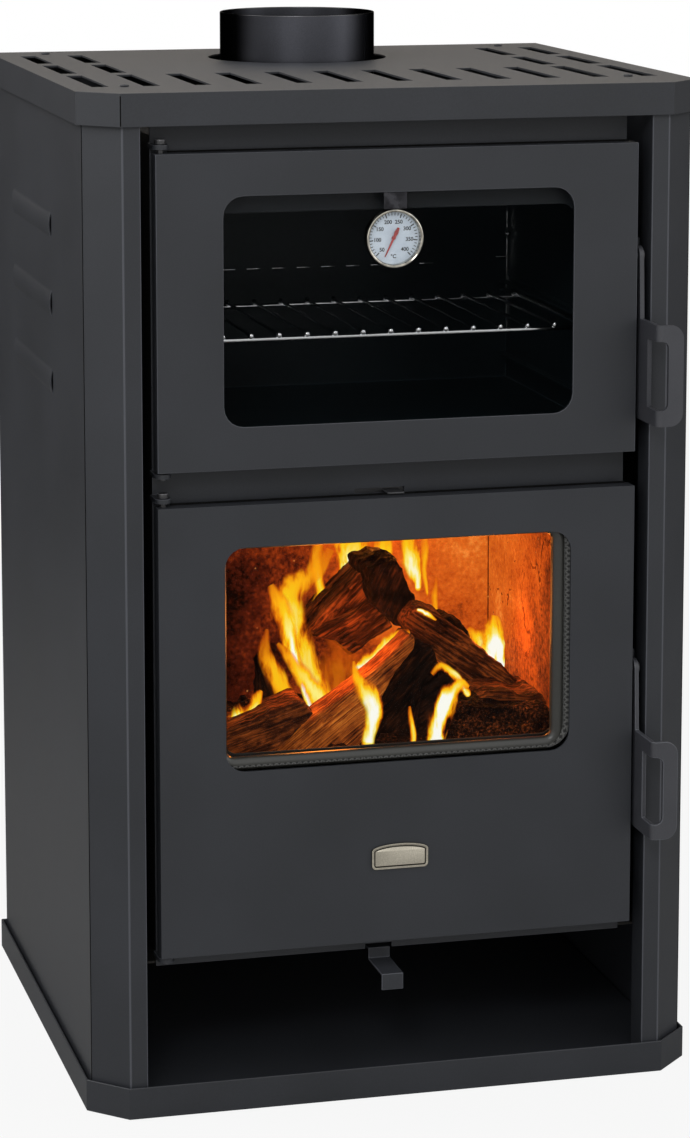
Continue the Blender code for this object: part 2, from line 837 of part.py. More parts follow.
def make_oven_runner(side, name):
    wall = oven_half - oven_wall - touch
    web = wall - runner_sheet
    tip = wall - runner_depth
    low = oven_low + runner_low - runner_edge
    high = oven_low + runner_keeper + runner_edge
    section = [(wall, low), (wall, high), (web, high)]
    for rise in (runner_keeper, runner_high, runner_low):
        top = oven_low + rise - touch
        section += [(web, top), (tip, top), (tip, top - runner_sheet), (web, top - runner_sheet)]
    section.append((web, low))
    ends = (frame_back + runner_front, oven_end - runner_back)
    plate(name, "Y", ends, [mirrored(section, side)], "oven_enamel")


def make_oven_rack():
    front, back = rack_ends
    half = rack_wire / 2
    reach = int((rack_half - 2 * rack_wire - rack_shift) / rack_pitch)
    bars = [rack_shift + i * rack_pitch for i in range(-reach, reach + 1)]
    bars = [half - rack_half] + bars + [rack_half - half]
    holes = []
    for left, right in zip(bars, bars[1:]):
        holes.append(rectangle(left + half, right - half, front + rack_wire, back - rack_wire))
    outline = rectangle(-rack_half, rack_half, front, back)
    return plate("oven_rack", "Z", (rack_level, rack_level + rack_wire), [outline] + holes, "chrome")


# Firebox

def make_firebox():
    inner = body_inner - touch
    back = firebox_back - body_wall - touch
    top = hearth_level + hearth_sheet
    half = grate_half
    front, rear = grate_ends
    hole = rectangle(grate_rest - half, half - grate_rest, front + grate_rest, rear - grate_rest)
    plate(
        "hearth_plate", "Z", (hearth_level, top),
        [rectangle(-inner, inner, body_front, back), hole], "cast_iron",
    )
    bed = top + touch
    count = int((2 * half - grate_bar) / grate_pitch)
    middle = (front + rear) / 2
    slots = []
    for i in range(count):
        x = (i - (count - 1) / 2) * grate_pitch
        for low, high in (
            (front + grate_bar, middle - grate_bar / 2), (middle + grate_bar / 2, rear - grate_bar),
        ):
            slots.append(rectangle(x - grate_slot / 2, x + grate_slot / 2, low, high))
    plate(
        "grate", "Z", (bed, bed + grate_thickness),
        [rectangle(-half, half, front, rear)] + slots, "cast_iron",
    )
    brick_back = back - back_brick_thickness
    block("back_brick", (-inner, inner), (brick_back, back), (bed, brick_top), "firebrick")
    for side, name in ((-1, "left_brick"), (1, "right_brick")):
        x = span(side, inner - brick_thickness, inner)
        block(name, x, (body_front + touch, brick_back - touch), (bed, brick_top), "firebrick")
    guard = body_front + touch
    section = [
        (guard, bed), (guard + guard_foot, bed), (guard + guard_foot, bed + guard_sheet),
        (guard + guard_sheet, bed + guard_sheet), (guard + guard_sheet, bed + guard_height),
        (guard, bed + guard_height),
    ]
    reach = opening_half - guard_side
    plate("log_guard", "X", (-reach, reach), [section], "cast_iron")


def make_ash_pan():
    low = body_bottom + body_wall + touch
    half = opening_half - pan_side
    front = frame_back + pan_front
    back = firebox_back - pan_back
    pan = block("ash_pan", (-half, half), (front, back), (low, low + pan_height), "inner_steel")
    hollow = block(
        "pan_hollow", (pan_sheet - half, half - pan_sheet), (front + pan_sheet, back - pan_sheet),
        (low + pan_sheet, low + pan_height + cut_past),
    )
    cut(pan, hollow)


# Air controls

def make_primary_air():
    damper_top = body_bottom - touch
    strip_top = damper_top - damper_sheet - touch
    strip_low = strip_top - lever_sheet
    run_top = strip_top - lever_step
    run_low = run_top - lever_sheet
    front = door_front - lever_reach
    tab = frame_front - lever_tab
    back = air_hole[1] + lever_tail
    section = [
        (back, strip_top), (tab, strip_top), (tab, run_top), (front, run_top), (front, run_top - lever_lip),
        (front + lever_sheet, run_top - lever_lip), (front + lever_sheet, run_low),
        (tab + lever_sheet, run_low), (tab + lever_sheet, strip_low), (back, strip_low),
    ]
    half = lever_width / 2
    lever = plate("primary_air_lever", "X", (lever_x - half, lever_x + half), [section], "stove_paint")
    reach = air_hole_side + damper_margin
    damper = block(
        "primary_air_damper", (lever_x - reach, lever_x + reach),
        (air_hole[0] - damper_margin, air_hole[1] + damper_margin),
        (damper_top - damper_sheet, damper_top), "inner_steel",
    )
    inside = half + slide_fit
    outside = inside + guide_sheet
    floor = strip_low - slide_fit
    strap = [
        (lever_x - outside, damper_top), (lever_x - outside, floor - guide_sheet),
        (lever_x + outside, floor - guide_sheet), (lever_x + outside, damper_top),
        (lever_x + inside, damper_top), (lever_x + inside, floor),
        (lever_x - inside, floor), (lever_x - inside, damper_top),
    ]
    guide = frame_back + guide_setback
    plate("primary_air_guide", "Y", (guide, guide + guide_length), [strap], "inner_steel")
    carrier("primary_air_axis", (lever_x, tab, strip_low), [lever, damper])


def make_secondary_air():
    strip_half = slide_strip_height / 2
    front = frame_back + touch
    strip_back = front + slide_strip_sheet
    slider = block(
        "secondary_air_slider", slide_strip, (front, strip_back),
        (slide_level - strip_half, slide_level + strip_half), "bright_steel",
    )
    tab = block(
        "slider_tab", slide_tab, (frame_front - slide_tab_reach, strip_back - slide_strip_sheet / 2),
        (slide_level - slide_tab_sheet / 2, slide_level + slide_tab_sheet / 2),
    )
    join(slider, tab)
    pocket = strip_half + slide_fit
    outside = pocket + channel_wall
    inner = strip_back + slide_fit
    section = [
        (front, slide_level - outside), (inner + channel_wall, slide_level - outside),
        (inner + channel_wall, slide_level + outside), (front, slide_level + outside),
        (front, slide_level + pocket), (inner, slide_level + pocket),
        (inner, slide_level - pocket), (front, slide_level - pocket),
    ]
    ends = (slide_strip[0] - channel_left, slide_strip[1] + channel_right)
    plate("secondary_air_channel", "X", ends, [section], "inner_steel")
    carrier("secondary_air_axis", (slide_tab[0], frame_front, slide_level), [slider])


# Doors

def hinge_pins(door, name):
    at = Matrix.Translation((hinge_x, hinge_y, 0))
    lug = door[1] + upper_lug_gap + lug_thickness + touch
    profile = [
        (0, lug + hinge_head_height), (hinge_head_radius, lug + hinge_head_height),
        (hinge_head_radius, lug), (hinge_pin_radius, lug),
        (hinge_pin_radius, door[1] - hinge_reach), (0, door[1] - hinge_reach),
    ]
    turned(name + "_upper_pin", profile, at, "bright_steel", steps=20)
    lug = door[0] - lower_lug_gap
    profile = [
        (0, door[0] + hinge_reach), (hinge_pin_radius, door[0] + hinge_reach),
        (hinge_pin_radius, door[0] - touch), (hinge_head_radius, door[0] - touch),
        (hinge_head_radius, lug + touch), (hinge_pin_radius, lug + touch),
        (hinge_pin_radius, lug - hinge_tail), (0, lug - hinge_tail),
    ]
    turned(name + "_lower_pin", profile, at, "bright_steel", steps=20)


def make_door_panel(door, window, name, pivot_z):
    half = door_half
    panel = block(name, (-half, half), (door_front, door_back), door, "stove_paint")
    inner = half - door_sheet
    hollow = block(
        name + "_hollow", (-inner, inner), (panel_back, door_back + cut_past),
        (door[0] + door_sheet, door[1] - door_sheet),
    )
    hole = plate(
        name + "_window", "Y", (door_front - cut_past, panel_back + cut_past),
        [rounded(-window_half, window_half, *window, window_radius)],
    )
    pin_hole = cylinder(
        name + "_pin_hole", hinge_pin_radius + pin_fit, door[0] - cut_past, door[1] + cut_past,
        Matrix.Translation((hinge_x, hinge_y, 0)), 20,
    )
    pivot_hole = cylinder(
        name + "_pivot_hole", pivot_pin_radius + pin_fit, inner - cut_past, half + cut_past,
        Matrix.Translation((0, pivot_y, pivot_z)) @ Matrix.Rotation(math.radians(90), 4, "Y"), 20,
    )
    return cut(panel, hollow, hole, pin_hole, pivot_hole)


def make_inner_frame(opening, view, name):
    """The pressed frame inside a door, which holds the glass and carries the rope seal."""
    edge = seal_offset + seal_land
    side = opening_half + edge
    low = opening[0] - edge
    high = opening[1] + edge
    frame = block(name, (-side, side), (panel_back + touch, inner_back), (low, high), "inner_steel")
    wall = inner_sheet
    hollow = block(
        name + "_hollow", (wall - side, side - wall), (panel_back - cut_past, inner_front),
        (low + wall, high - wall),
    )
    reach = (inner_front - cut_past, inner_back + cut_past)
    hole = plate(name + "_window", "Y", reach, [rounded(*view, inner_radius)])
    return cut(frame, hollow, hole)


def make_glass(window, name):
    side = window_half + glass_margin
    return block(
        name, (-side, side), (glass_front, glass_back),
        (window[0] - glass_margin, window[1] + glass_margin), "door_glass",
    )


def make_seal(opening, name):
    side = opening_half + seal_offset
    path = rounded(
        -side, side, opening[0] - seal_offset, opening[1] + seal_offset, opening_radius + seal_offset, 4,
    )
    return ring(name, path, inner_back + touch + seal_radius, seal_radius, "seal_rope")


def make_handle(pivot_z, name):
    x = handle_x
    t = handle_plate
    front = door_front - handle_reach
    high = pivot_z - grip_below_pivot
    low = high - grip_height
    r = handle_fold_radius
    back = frame_front - handle_clear
    section = [(x, back)]
    section += arc(x + r, front + r, r, 180, 270, 5)
    section += [(x + handle_fold, front), (x + handle_fold, front + t)]
    section += arc(x + r, front + r, r - t, 270, 180, 3)
    section += [(x + t, back)]
    handle = plate(name, "Z", (low, high), [section], "stove_paint")
    right = x + handle_fold
    outline = [(x - cut_past, low)]
    outline += arc(right - handle_corner, low + handle_corner, handle_corner, 270, 360, 6)
    outline += arc(right - handle_corner, high - handle_corner, handle_corner, 0, 90, 6)
    outline += [(x - cut_past, high)]
    reach = (front - cut_past, back + cut_past)
    combine(handle, plate(name + "_outline", "Y", reach, [outline]), "INTERSECT")
    slot = rounded(
        x - cut_past, x + slot_reach, low + grip_border, high - grip_border, grip_radius, 4,
    )
    cut(handle, plate(name + "_slot", "Y", (front - cut_past, door_front - slot_clear), [slot]))

    # The arm, its hook and the eye that turns on the pivot pin, drawn in (y, z) from the pivot
    arm = [
        (door_front + touch - pivot_y, -grip_below_pivot - t), (back - pivot_y, -grip_below_pivot - t),
        (hook_back, hook_low), (nose_reach, nose_low), (nose_reach, nose_high),
        (nose_reach - nose_lip, nose_high), (nose_reach - nose_lip, nose_step),
        (arm_radius, nose_step),
    ]
    arm += arc(0, 0, arm_radius, 10, 180, 10)
    arm = [(pivot_y + u, pivot_z + v) for u, v in arm]
    join(handle, plate(name + "_arm", "X", (x, x + t), [arm]))
    eye = cylinder(
        name + "_eye", pivot_pin_radius + pin_fit, x - cut_past, x + t + cut_past,
        Matrix.Translation((0, pivot_y, pivot_z)) @ Matrix.Rotation(math.radians(90), 4, "Y"), 20,
    )
    return cut(handle, eye)


def make_pivot_pin(pivot_z, name):
    half = door_half
    head = handle_x + handle_plate + touch
    profile = [
        (0, head + pivot_head), (pivot_head_radius, head + pivot_head), (pivot_head_radius, head),
        (pivot_pin_radius, head), (pivot_pin_radius, handle_x - touch),
        (pivot_collar_radius, handle_x - touch), (pivot_collar_radius, half + touch),
        (pivot_pin_radius, half + touch), (pivot_pin_radius, half - pivot_reach), (0, half - pivot_reach),
    ]
    at = Matrix.Translation((0, pivot_y, pivot_z)) @ Matrix.Rotation(math.radians(90), 4, "Y")
    return turned(name, profile, at, "bright_steel", steps=20)


def make_catch(pivot_z, name):
    """The lip on the frame that the handle's nose hooks behind, on its foot."""
    foot = frame_front - touch
    lip_back = pivot_y + nose_reach - nose_lip - touch
    lip_front = lip_back - catch_sheet
    section = [
        (lip_front, catch_low), (lip_back, catch_low), (lip_back, catch_high - catch_sheet),
        (foot, catch_high - catch_sheet), (foot, catch_high), (lip_front, catch_high),
    ]
    section = [(u, pivot_z + v) for u, v in section]
    middle = handle_x + handle_plate / 2
    ends = (middle - catch_width / 2, middle + catch_width / 2)
    catch = plate(name, "X", ends, [section], "stove_paint")
    foot_plate = block(
        name + "_foot", (handle_x - catch_foot_reach, ends[0] + catch_gap), (foot - catch_sheet, foot),
        (pivot_z + catch_foot_low, pivot_z + catch_foot_high),
    )
    return join(catch, foot_plate)


def make_gauge():
    centre_z = oven_window[1] - gauge_drop
    front = door_front + gauge_front
    at = Matrix.Translation((gauge_x, front, centre_z)) @ Matrix.Rotation(math.radians(90), 4, "X")
    inner = gauge_radius - gauge_wall
    profile = [
        (0, gauge_wall - gauge_depth), (inner, gauge_wall - gauge_depth), (inner, -gauge_lip_depth),
        (gauge_radius - gauge_lip, -gauge_lip_depth), (gauge_radius - gauge_lip, 0),
        (gauge_radius - gauge_wall, 0), (gauge_radius, -gauge_lip_depth),
        (gauge_radius, -gauge_depth), (0, -gauge_depth),
    ]
    case = turned("thermometer_case", profile, at, "chrome", steps=48)
    disc = inner - touch

    def make_disc(name, high, thickness, finish):
        edge = [(0, high), (disc, high), (disc, high - thickness), (0, high - thickness)]
        return turned(name, edge, at, finish, steps=48)
    lens = make_disc("thermometer_lens", -gauge_lip_depth - touch, lens_thickness, "door_glass")
    dial_seat = gauge_depth - gauge_wall - touch
    dial = make_disc("thermometer_dial", -dial_depth, dial_seat - dial_depth, "dial_face")

    # The needle lies along Z, then turns clockwise to its rest place
    turn = math.radians(needle_rest)
    w = needle_half_width

    def turned_point(u, v):
        return (
            gauge_x + u * math.cos(turn) + v * math.sin(turn),
            centre_z - u * math.sin(turn) + v * math.cos(turn),
        )
    shape = [
        (-w, 0), (-needle_tail_half, -needle_tail / 2), (-w, -needle_tail), (w, -needle_tail),
        (needle_tail_half, -needle_tail / 2), (w, 0),
        (needle_tip_half, needle_tip), (-needle_tip_half, needle_tip),
    ]
    low = front + dial_depth - needle_gap - needle_thickness
    ends = (low, low + needle_thickness)
    needle = plate("thermometer_needle", "Y", ends, [[turned_point(u, v) for u, v in shape]], "needle_paint")
    hub = cylinder(
        "needle_hub", needle_hub_radius, touch - dial_depth,
        needle_gap + needle_thickness / 2 - dial_depth, at, 16,
    )
    join(needle, hub)
    hanger = block(
        "thermometer_hanger", (gauge_x - hanger_width / 2, gauge_x + hanger_width / 2),
        (front, front + hanger_sheet), (centre_z + gauge_radius + touch, oven_window[1] - touch),
        "bright_steel",
    )
    needle_axis = (gauge_x, front, centre_z)
    return [case, lens, dial, hanger], needle, needle_axis


def make_oven_door():
    pieces = [
        make_door_panel(oven_door, oven_window, "oven_door_panel", oven_pivot_z),
        make_inner_frame(oven_opening, oven_view, "oven_door_inner_frame"),
        make_glass(oven_window, "oven_door_glass"),
        make_seal(oven_opening, "oven_door_seal"),
        make_pivot_pin(oven_pivot_z, "oven_handle_pin"),
    ]
    side = window_half + gasket_offset
    path = rounded(
        -side, side, oven_window[0] - gasket_offset, oven_window[1] + gasket_offset,
        window_radius + gasket_offset, 4,
    )
    y = panel_back + touch + gasket_radius
    pieces.append(ring("oven_glass_gasket", path, y, gasket_radius, "seal_rope"))
    gauge, needle, needle_axis = make_gauge()
    handle = make_handle(oven_pivot_z, "oven_handle")
    axis = carrier("oven_door_axis", (hinge_x, hinge_y, oven_door[0]), pieces + gauge)
    carrier("thermometer_axis", needle_axis, [needle], axis)
    carrier("oven_handle_axis", (handle_x, pivot_y, oven_pivot_z), [handle], axis)
    hinge_pins(oven_door, "oven_door")
    make_catch(oven_pivot_z, "oven_latch_catch")


def make_fire_door():
    pieces = [
        make_door_panel(fire_door, fire_window, "fire_door_panel", fire_pivot_z),
        make_inner_frame(fire_opening, fire_view, "fire_door_inner_frame"),
        make_glass(fire_window, "fire_door_glass"),
        make_seal(fire_opening, "fire_door_seal"),
        make_pivot_pin(fire_pivot_z, "fire_handle_pin"),
    ]
    sides = (bezel_left - window_half, window_half - bezel_right)
    ends = (fire_window[0] + bezel_low, fire_window[1] - bezel_high)
    step = bezel_radius + glass_rope_radius + rope_gap
    path = rounded(
        sides[0] - step, sides[1] + step, ends[0] - step, ends[1] + step, bezel_corner + step, 5,
    )
    y = panel_back + touch + glass_rope_radius
    pieces.append(ring("fire_glass_rope", path, y, glass_rope_radius, "seal_rope"))
    path = rounded(*sides, *ends, bezel_corner, 5)
    y = glass_front - touch - bezel_radius
    pieces.append(ring("fire_window_bezel", path, y, bezel_radius, "stove_paint"))

    half = badge_width / 2
    low = fire_door[0] + badge_rise
    high = low + badge_height
    outline = arc(badge_radius - half, low + badge_radius, badge_radius, 180, 270, 4)
    outline += arc(half - badge_radius, low + badge_radius, badge_radius, 270, 360, 4)
    rise = [math.pi * i / 12 for i in range(13)]
    outline += [(half * math.cos(a), high + badge_arch * math.sin(a)) for a in rise]
    back = door_front - touch
    pieces.append(plate("badge_plate", "Y", (back - badge_sheet, back), [outline], "badge_metal"))
    handle = make_handle(fire_pivot_z, "fire_handle")
    axis = carrier("fire_door_axis", (hinge_x, hinge_y, fire_door[0]), pieces)
    carrier("fire_handle_axis", (handle_x, pivot_y, fire_pivot_z), [handle], axis)
    hinge_pins(fire_door, "fire_door")
    make_catch(fire_pivot_z, "fire_latch_catch")


make_base()
for hand, sign in (("left", -1), ("right", 1)):
    make_side_panel(sign, hand + "_side_panel")
    make_corner_post(sign, hand + "_corner_post")
    make_support_rail(sign, hand + "_support_rail")
    make_oven_runner(sign, hand + "_oven_runner")
make_back_panel()
make_top_cover()
make_front_frame()
make_body_shell()
make_flue_collar()
make_oven()
rack = make_oven_rack()
carrier("oven_rack_axis", (0, rack_ends[0], rack_level), [rack])
make_firebox()
make_ash_pan()
make_primary_air()
make_secondary_air()
make_oven_door()
make_fire_door()
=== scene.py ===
import json
import math
import random

import bpy
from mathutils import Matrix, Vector

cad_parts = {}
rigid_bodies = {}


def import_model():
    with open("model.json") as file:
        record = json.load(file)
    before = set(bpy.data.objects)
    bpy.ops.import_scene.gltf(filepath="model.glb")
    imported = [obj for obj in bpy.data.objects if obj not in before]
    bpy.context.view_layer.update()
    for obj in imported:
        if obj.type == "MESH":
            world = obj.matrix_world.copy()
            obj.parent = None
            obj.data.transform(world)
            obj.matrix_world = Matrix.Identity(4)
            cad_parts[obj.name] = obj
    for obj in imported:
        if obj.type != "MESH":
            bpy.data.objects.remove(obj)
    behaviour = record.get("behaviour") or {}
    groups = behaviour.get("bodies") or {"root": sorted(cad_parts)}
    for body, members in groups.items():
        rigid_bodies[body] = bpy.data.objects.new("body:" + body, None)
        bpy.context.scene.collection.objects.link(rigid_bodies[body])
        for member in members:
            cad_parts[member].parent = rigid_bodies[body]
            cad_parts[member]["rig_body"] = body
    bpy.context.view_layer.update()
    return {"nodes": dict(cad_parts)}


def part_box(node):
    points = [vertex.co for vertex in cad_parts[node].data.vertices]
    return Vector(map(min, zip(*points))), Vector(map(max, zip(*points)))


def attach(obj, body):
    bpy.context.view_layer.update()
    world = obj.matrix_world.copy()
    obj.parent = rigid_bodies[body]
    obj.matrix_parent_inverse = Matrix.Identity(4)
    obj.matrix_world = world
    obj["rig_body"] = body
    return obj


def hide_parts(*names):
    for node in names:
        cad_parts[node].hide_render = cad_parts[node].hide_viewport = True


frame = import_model()
print("frame loaded:", len(frame["nodes"]), "nodes")


# Nodes and colours

def linear(hexColour):
    # sRGB hex to the linear colour that a socket takes
    colour = []
    for start in (1, 3, 5):
        value = int(hexColour[start:start + 2], 16) / 255
        colour.append(value / 12.92 if value <= 0.04045 else ((value + 0.055) / 1.055) ** 2.4)
    return (*colour, 1.0)


def feed(node, sources):
    # Links sources to a node's sockets; where a source is a node, its first output in use is meant
    for key, source in dict(sources).items():
        if isinstance(source, bpy.types.Node):
            source = next(output for output in source.outputs if output.enabled)
        node.id_data.links.new(source, node.inputs[key])


def addNode(tree, kind, settings=(), values=(), links=(), stops=()):
    # One node, with its settings, socket values, links and colour stops
    node = tree.nodes.new("ShaderNode" + kind)
    for key, value in dict(settings).items():
        setattr(node, key, value)
    for key, value in dict(values).items():
        node.inputs[key].default_value = value
    feed(node, links)
    for index, (position, colour) in enumerate(stops):
        elements = node.color_ramp.elements
        stop = elements[index] if index < 2 else elements.new(position)
        stop.position = position
        stop.color = linear(colour)
    return node


def startMaterial(name, sockets):
    # A Principled material; colours are given as hex
    material = bpy.data.materials.new(name)
    material.use_nodes = True
    shader = material.node_tree.nodes["Principled BSDF"]
    for key, value in sockets.items():
        shader.inputs[key].default_value = linear(value) if isinstance(value, str) else value
    return material, material.node_tree, shader


def perMm(size):
    # Texture scale for a feature of this many millimetres
    return 1000 / size


def spans(source=(0, 1), target=(0, 1)):
    # Values that make a Map Range node take one span to another
    return {"From Min": source[0], "From Max": source[1], "To Min": target[0], "To Max": target[1]}


# Mesh work

near = 0.00002    # metres within which two places count as one


def activate(piece):
    # Selects this piece alone
    bpy.ops.object.select_all(action="DESELECT")
    piece.select_set(True)
    bpy.context.view_layer.objects.active = piece


def editAll(piece):
    # Opens a piece for editing, with all of it selected
    activate(piece)
    bpy.ops.object.mode_set(mode="EDIT")
    bpy.ops.mesh.select_all(action="SELECT")


def modify(piece, kind, settings):
    # Adds a modifier and applies it
    activate(piece)
    modifier = piece.modifiers.new(kind.title(), kind)
    for key, value in settings.items():
        setattr(modifier, key, value)
    bpy.ops.object.modifier_apply(modifier=modifier.name)


def roundEdges(piece, width, segments=2):
    # Rounds every sharp edge to this width
    modify(piece, "BEVEL", {"width": width, "segments": segments, "limit_method": "ANGLE"})


def dress(piece, name, material, body, nodes=()):
    # Names a finished piece, puts its place in its mesh and ties it to its body
    activate(piece)
    bpy.ops.object.transform_apply(location=True, rotation=True, scale=True)
    piece.name = name
    piece.data.name = name
    piece.data.materials.clear()
    piece.data.materials.append(material)
    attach(piece, body)
    if nodes:
        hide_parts(*nodes)
    return piece


def joinPieces(pieces):
    # One mesh from several, in the place of the first
    bpy.ops.object.select_all(action="DESELECT")
    for piece in pieces:
        piece.select_set(True)
    bpy.context.view_layer.objects.active = pieces[0]
    bpy.ops.object.join()
    return pieces[0]


def copiesOf(piece, shifts):
    # The piece and its copies, each with its own mesh and moved by its shift
    pieces = [piece]
    for shift in shifts:
        twin = piece.copy()
        twin.data = piece.data.copy()
        bpy.context.collection.objects.link(twin)
        twin.location += Vector(shift)
        pieces.append(twin)
    return pieces


def smoothUpTo(piece, degrees):
    # Smooth shading, except over folds sharper than this
    activate(piece)
    bpy.ops.object.shade_smooth_by_angle(angle=math.radians(degrees))


def drawOut(piece, depth):
    # Makes a body of this depth from a face that looks to the front
    editAll(piece)
    bpy.ops.mesh.extrude_region_move(TRANSFORM_OT_translate={"value": (0, depth, 0)})
    bpy.ops.mesh.select_all(action="SELECT")
    bpy.ops.mesh.normals_make_consistent(inside=False)
    bpy.ops.object.mode_set(mode="OBJECT")


def dropUvMaps(piece):
    # For pieces whose finish reads no UV map
    for layer in list(piece.data.uv_layers):
        piece.data.uv_layers.remove(layer)


# metres, degrees and the weight of the flat faces in the shading
softening = {"mergeWithin": 0.00001, "flatWithin": 0.5, "sharpFrom": 35, "smoothUpTo": 30, "flatWeight": 50}


def softened(nodeName, width, edgeHighlight=1.0):
    # A copy of a CAD piece with its sharp edges rounded, as on bent and deburred sheet
    piece = bpy.data.objects.new(nodeName + "_soft", frame["nodes"][nodeName].data.copy())
    bpy.context.collection.objects.link(piece)
    editAll(piece)
    bpy.ops.mesh.remove_doubles(threshold=softening["mergeWithin"])
    bpy.ops.mesh.dissolve_limited(angle_limit=math.radians(softening["flatWithin"]))
    bpy.ops.object.mode_set(mode="OBJECT")
    piece.data.materials.clear()
    for index in range(2):
        piece.data.materials.append(None)
    modify(piece, "BEVEL", {
        "width": width, "segments": 2, "limit_method": "ANGLE", "angle_limit": math.radians(softening["sharpFrom"]),
        "use_clamp_overlap": True, "material": 1,
    })
    edge = piece.data.attributes.new("edge", "FLOAT", "FACE")
    for face in piece.data.polygons:    # the new narrow faces are the edge, which gets a painted highlight along the folds
        edge.data[face.index].value = edgeHighlight * face.material_index
        face.material_index = 0
    smoothUpTo(piece, softening["smoothUpTo"])
    modify(piece, "WEIGHTED_NORMAL", {"weight": softening["flatWeight"], "keep_sharp": True})    # keeps the flats flat
    return piece


facing = (math.radians(90), 0, 0)    # turns a shape that lies flat upright, towards the front


def cordRing(size, middle, turn, cornerRadius, radius, spacing=0.006):
    # A closed cord round a rectangle: a plane gets round corners, its edge is divided evenly and made a curve
    # with a round section, and its UV map is brought to metres
    bpy.ops.object.select_all(action="DESELECT")
    bpy.ops.mesh.primitive_plane_add(size=1, location=middle, rotation=turn)
    cord = bpy.context.object
    cord.scale = (size[0], size[1], 1)
    bpy.ops.object.transform_apply(location=False, rotation=False, scale=True)
    editAll(cord)
    bpy.ops.mesh.bevel(offset=cornerRadius, affect="VERTICES",
                       segments=max(4, round(math.pi / 2 * cornerRadius / spacing)))
    bpy.ops.mesh.select_all(action="SELECT")
    bpy.ops.mesh.delete(type="ONLY_FACE")
    for axis, length in ((0, size[0]), (1, size[1])):
        bpy.ops.mesh.select_all(action="DESELECT")
        bpy.ops.object.mode_set(mode="OBJECT")
        corners = cord.data.vertices
        for edge in cord.data.edges:
            span = corners[edge.vertices[0]].co - corners[edge.vertices[1]].co
            edge.select = abs(abs(span[axis]) - (length - 2 * cornerRadius)) < near and abs(span[1 - axis]) < near
        bpy.ops.object.mode_set(mode="EDIT")
        bpy.ops.mesh.subdivide(number_cuts=max(1, round(length / spacing)))
    bpy.ops.object.mode_set(mode="OBJECT")
    bpy.ops.object.convert(target="CURVE")
    cord = bpy.context.object
    cord.data.bevel_depth = radius
    cord.data.bevel_resolution = 4
    bpy.ops.object.convert(target="MESH")
    cord = bpy.context.object
    length = 2 * (size[0] + size[1]) - 1.72 * cornerRadius    # less what the four round corners save
    for loop in cord.data.uv_layers[0].data:
        loop.uv = (loop.uv.x * length, loop.uv.y * 2 * math.pi * radius)
    bpy.ops.object.shade_smooth()
    return cord


def turnedPiece(profile, middle, steps=64):
    # A lathed piece that faces the front: a disc is drawn out ring by ring along (radius, depth) pairs
    bpy.ops.object.select_all(action="DESELECT")
    bpy.ops.mesh.primitive_circle_add(vertices=steps, radius=profile[0][0], fill_type="NGON", rotation=facing,
                                      location=middle + Vector((0, profile[0][1], 0)))
    piece = bpy.context.object
    editAll(piece)
    for (radius, depth), (nextRadius, nextDepth) in zip(profile, profile[1:]):
        bpy.ops.mesh.extrude_region_move(TRANSFORM_OT_translate={"value": (0, nextDepth - depth, 0)})
        bpy.ops.transform.resize(value=(nextRadius / radius, 1, nextRadius / radius))
    bpy.ops.mesh.select_all(action="SELECT")
    bpy.ops.mesh.normals_make_consistent(inside=False)
    bpy.ops.object.mode_set(mode="OBJECT")
    smoothUpTo(piece, 38)
    return piece


def addBlock(x, y, z, bevel=0.0002):
    # A block between two values on each axis, with its edges rounded
    bpy.ops.object.select_all(action="DESELECT")
    bpy.ops.mesh.primitive_cube_add(size=1, location=(sum(x) / 2, sum(y) / 2, sum(z) / 2))
    block = bpy.context.object
    block.scale = (x[1] - x[0], y[1] - y[0], z[1] - z[0])
    bpy.ops.object.transform_apply(location=False, rotation=False, scale=True)
    roundEdges(block, bevel)
    return block


# Stove paint: silicone paint sprayed matt on sheet steel, a dry charcoal that shines only at a low angle
paintLook = {
    "dark": "#25272B", "light": "#2D2F34", "edge": "#484A50", "roughness": (0.44, 0.54), "specular": 0.42,
    "grainMm": 1.4,         # the real grain is 0.3 mm, drawn coarser to show
    "grainHeightMm": 0.03, "cloudMm": 120,
}


def makePaint(name, look):
    # A sprayed or scaled skin: slow clouds and fine grain in its colour, shine and height, and a painted highlight
    # that makes the edges paler
    material, tree, shader = startMaterial(name, {"Specular IOR Level": look["specular"],
                                                  "Metallic": look.get("metallic", 0.0)})
    place = addNode(tree, "TexCoord").outputs["Object"]
    cloud = addNode(tree, "TexNoise", values={"Scale": perMm(look["cloudMm"]), "Detail": 3}, links={"Vector": place})
    grain = addNode(tree, "TexNoise", values={"Scale": perMm(look["grainMm"]), "Detail": 2, "Roughness": 0.6},
                    links={"Vector": place})
    blend = addNode(tree, "Mix", {"data_type": "FLOAT"}, {"Factor": 0.45},    # mostly cloud, and the rest grain
                    {"A": cloud, "B": grain})
    colour = addNode(tree, "ValToRGB", links={"Fac": blend}, stops=((0.35, look["dark"]), (0.65, look["light"])))
    shine = addNode(tree, "MapRange", values=spans(target=look["roughness"]), links={"Value": blend})
    bump = addNode(tree, "Bump", values={"Distance": look["grainHeightMm"] / 1000, "Strength": 0.6},
                   links={"Height": grain})
    # painted highlight: the rounded edges take the paler edge colour, which stands for the light the folds catch
    edge = addNode(tree, "Attribute", {"attribute_name": "edge"})
    edgeHighlight = addNode(tree, "Mix", {"data_type": "RGBA"}, {"B": linear(look["edge"])},
                   {"Factor": edge.outputs["Fac"], "A": colour})
    feed(shader, {"Base Color": edgeHighlight, "Roughness": shine, "Normal": bump})
    return material


def coverColour(material, factor, colour):
    # Lays a second colour over a finish, as far as the factor says
    shader = material.node_tree.nodes["Principled BSDF"]
    over = addNode(material.node_tree, "Mix", {"data_type": "RGBA"}, {"B": linear(colour)},
                   {"Factor": factor, "A": shader.inputs["Base Color"].links[0].from_socket})
    feed(shader, {"Base Color": over})


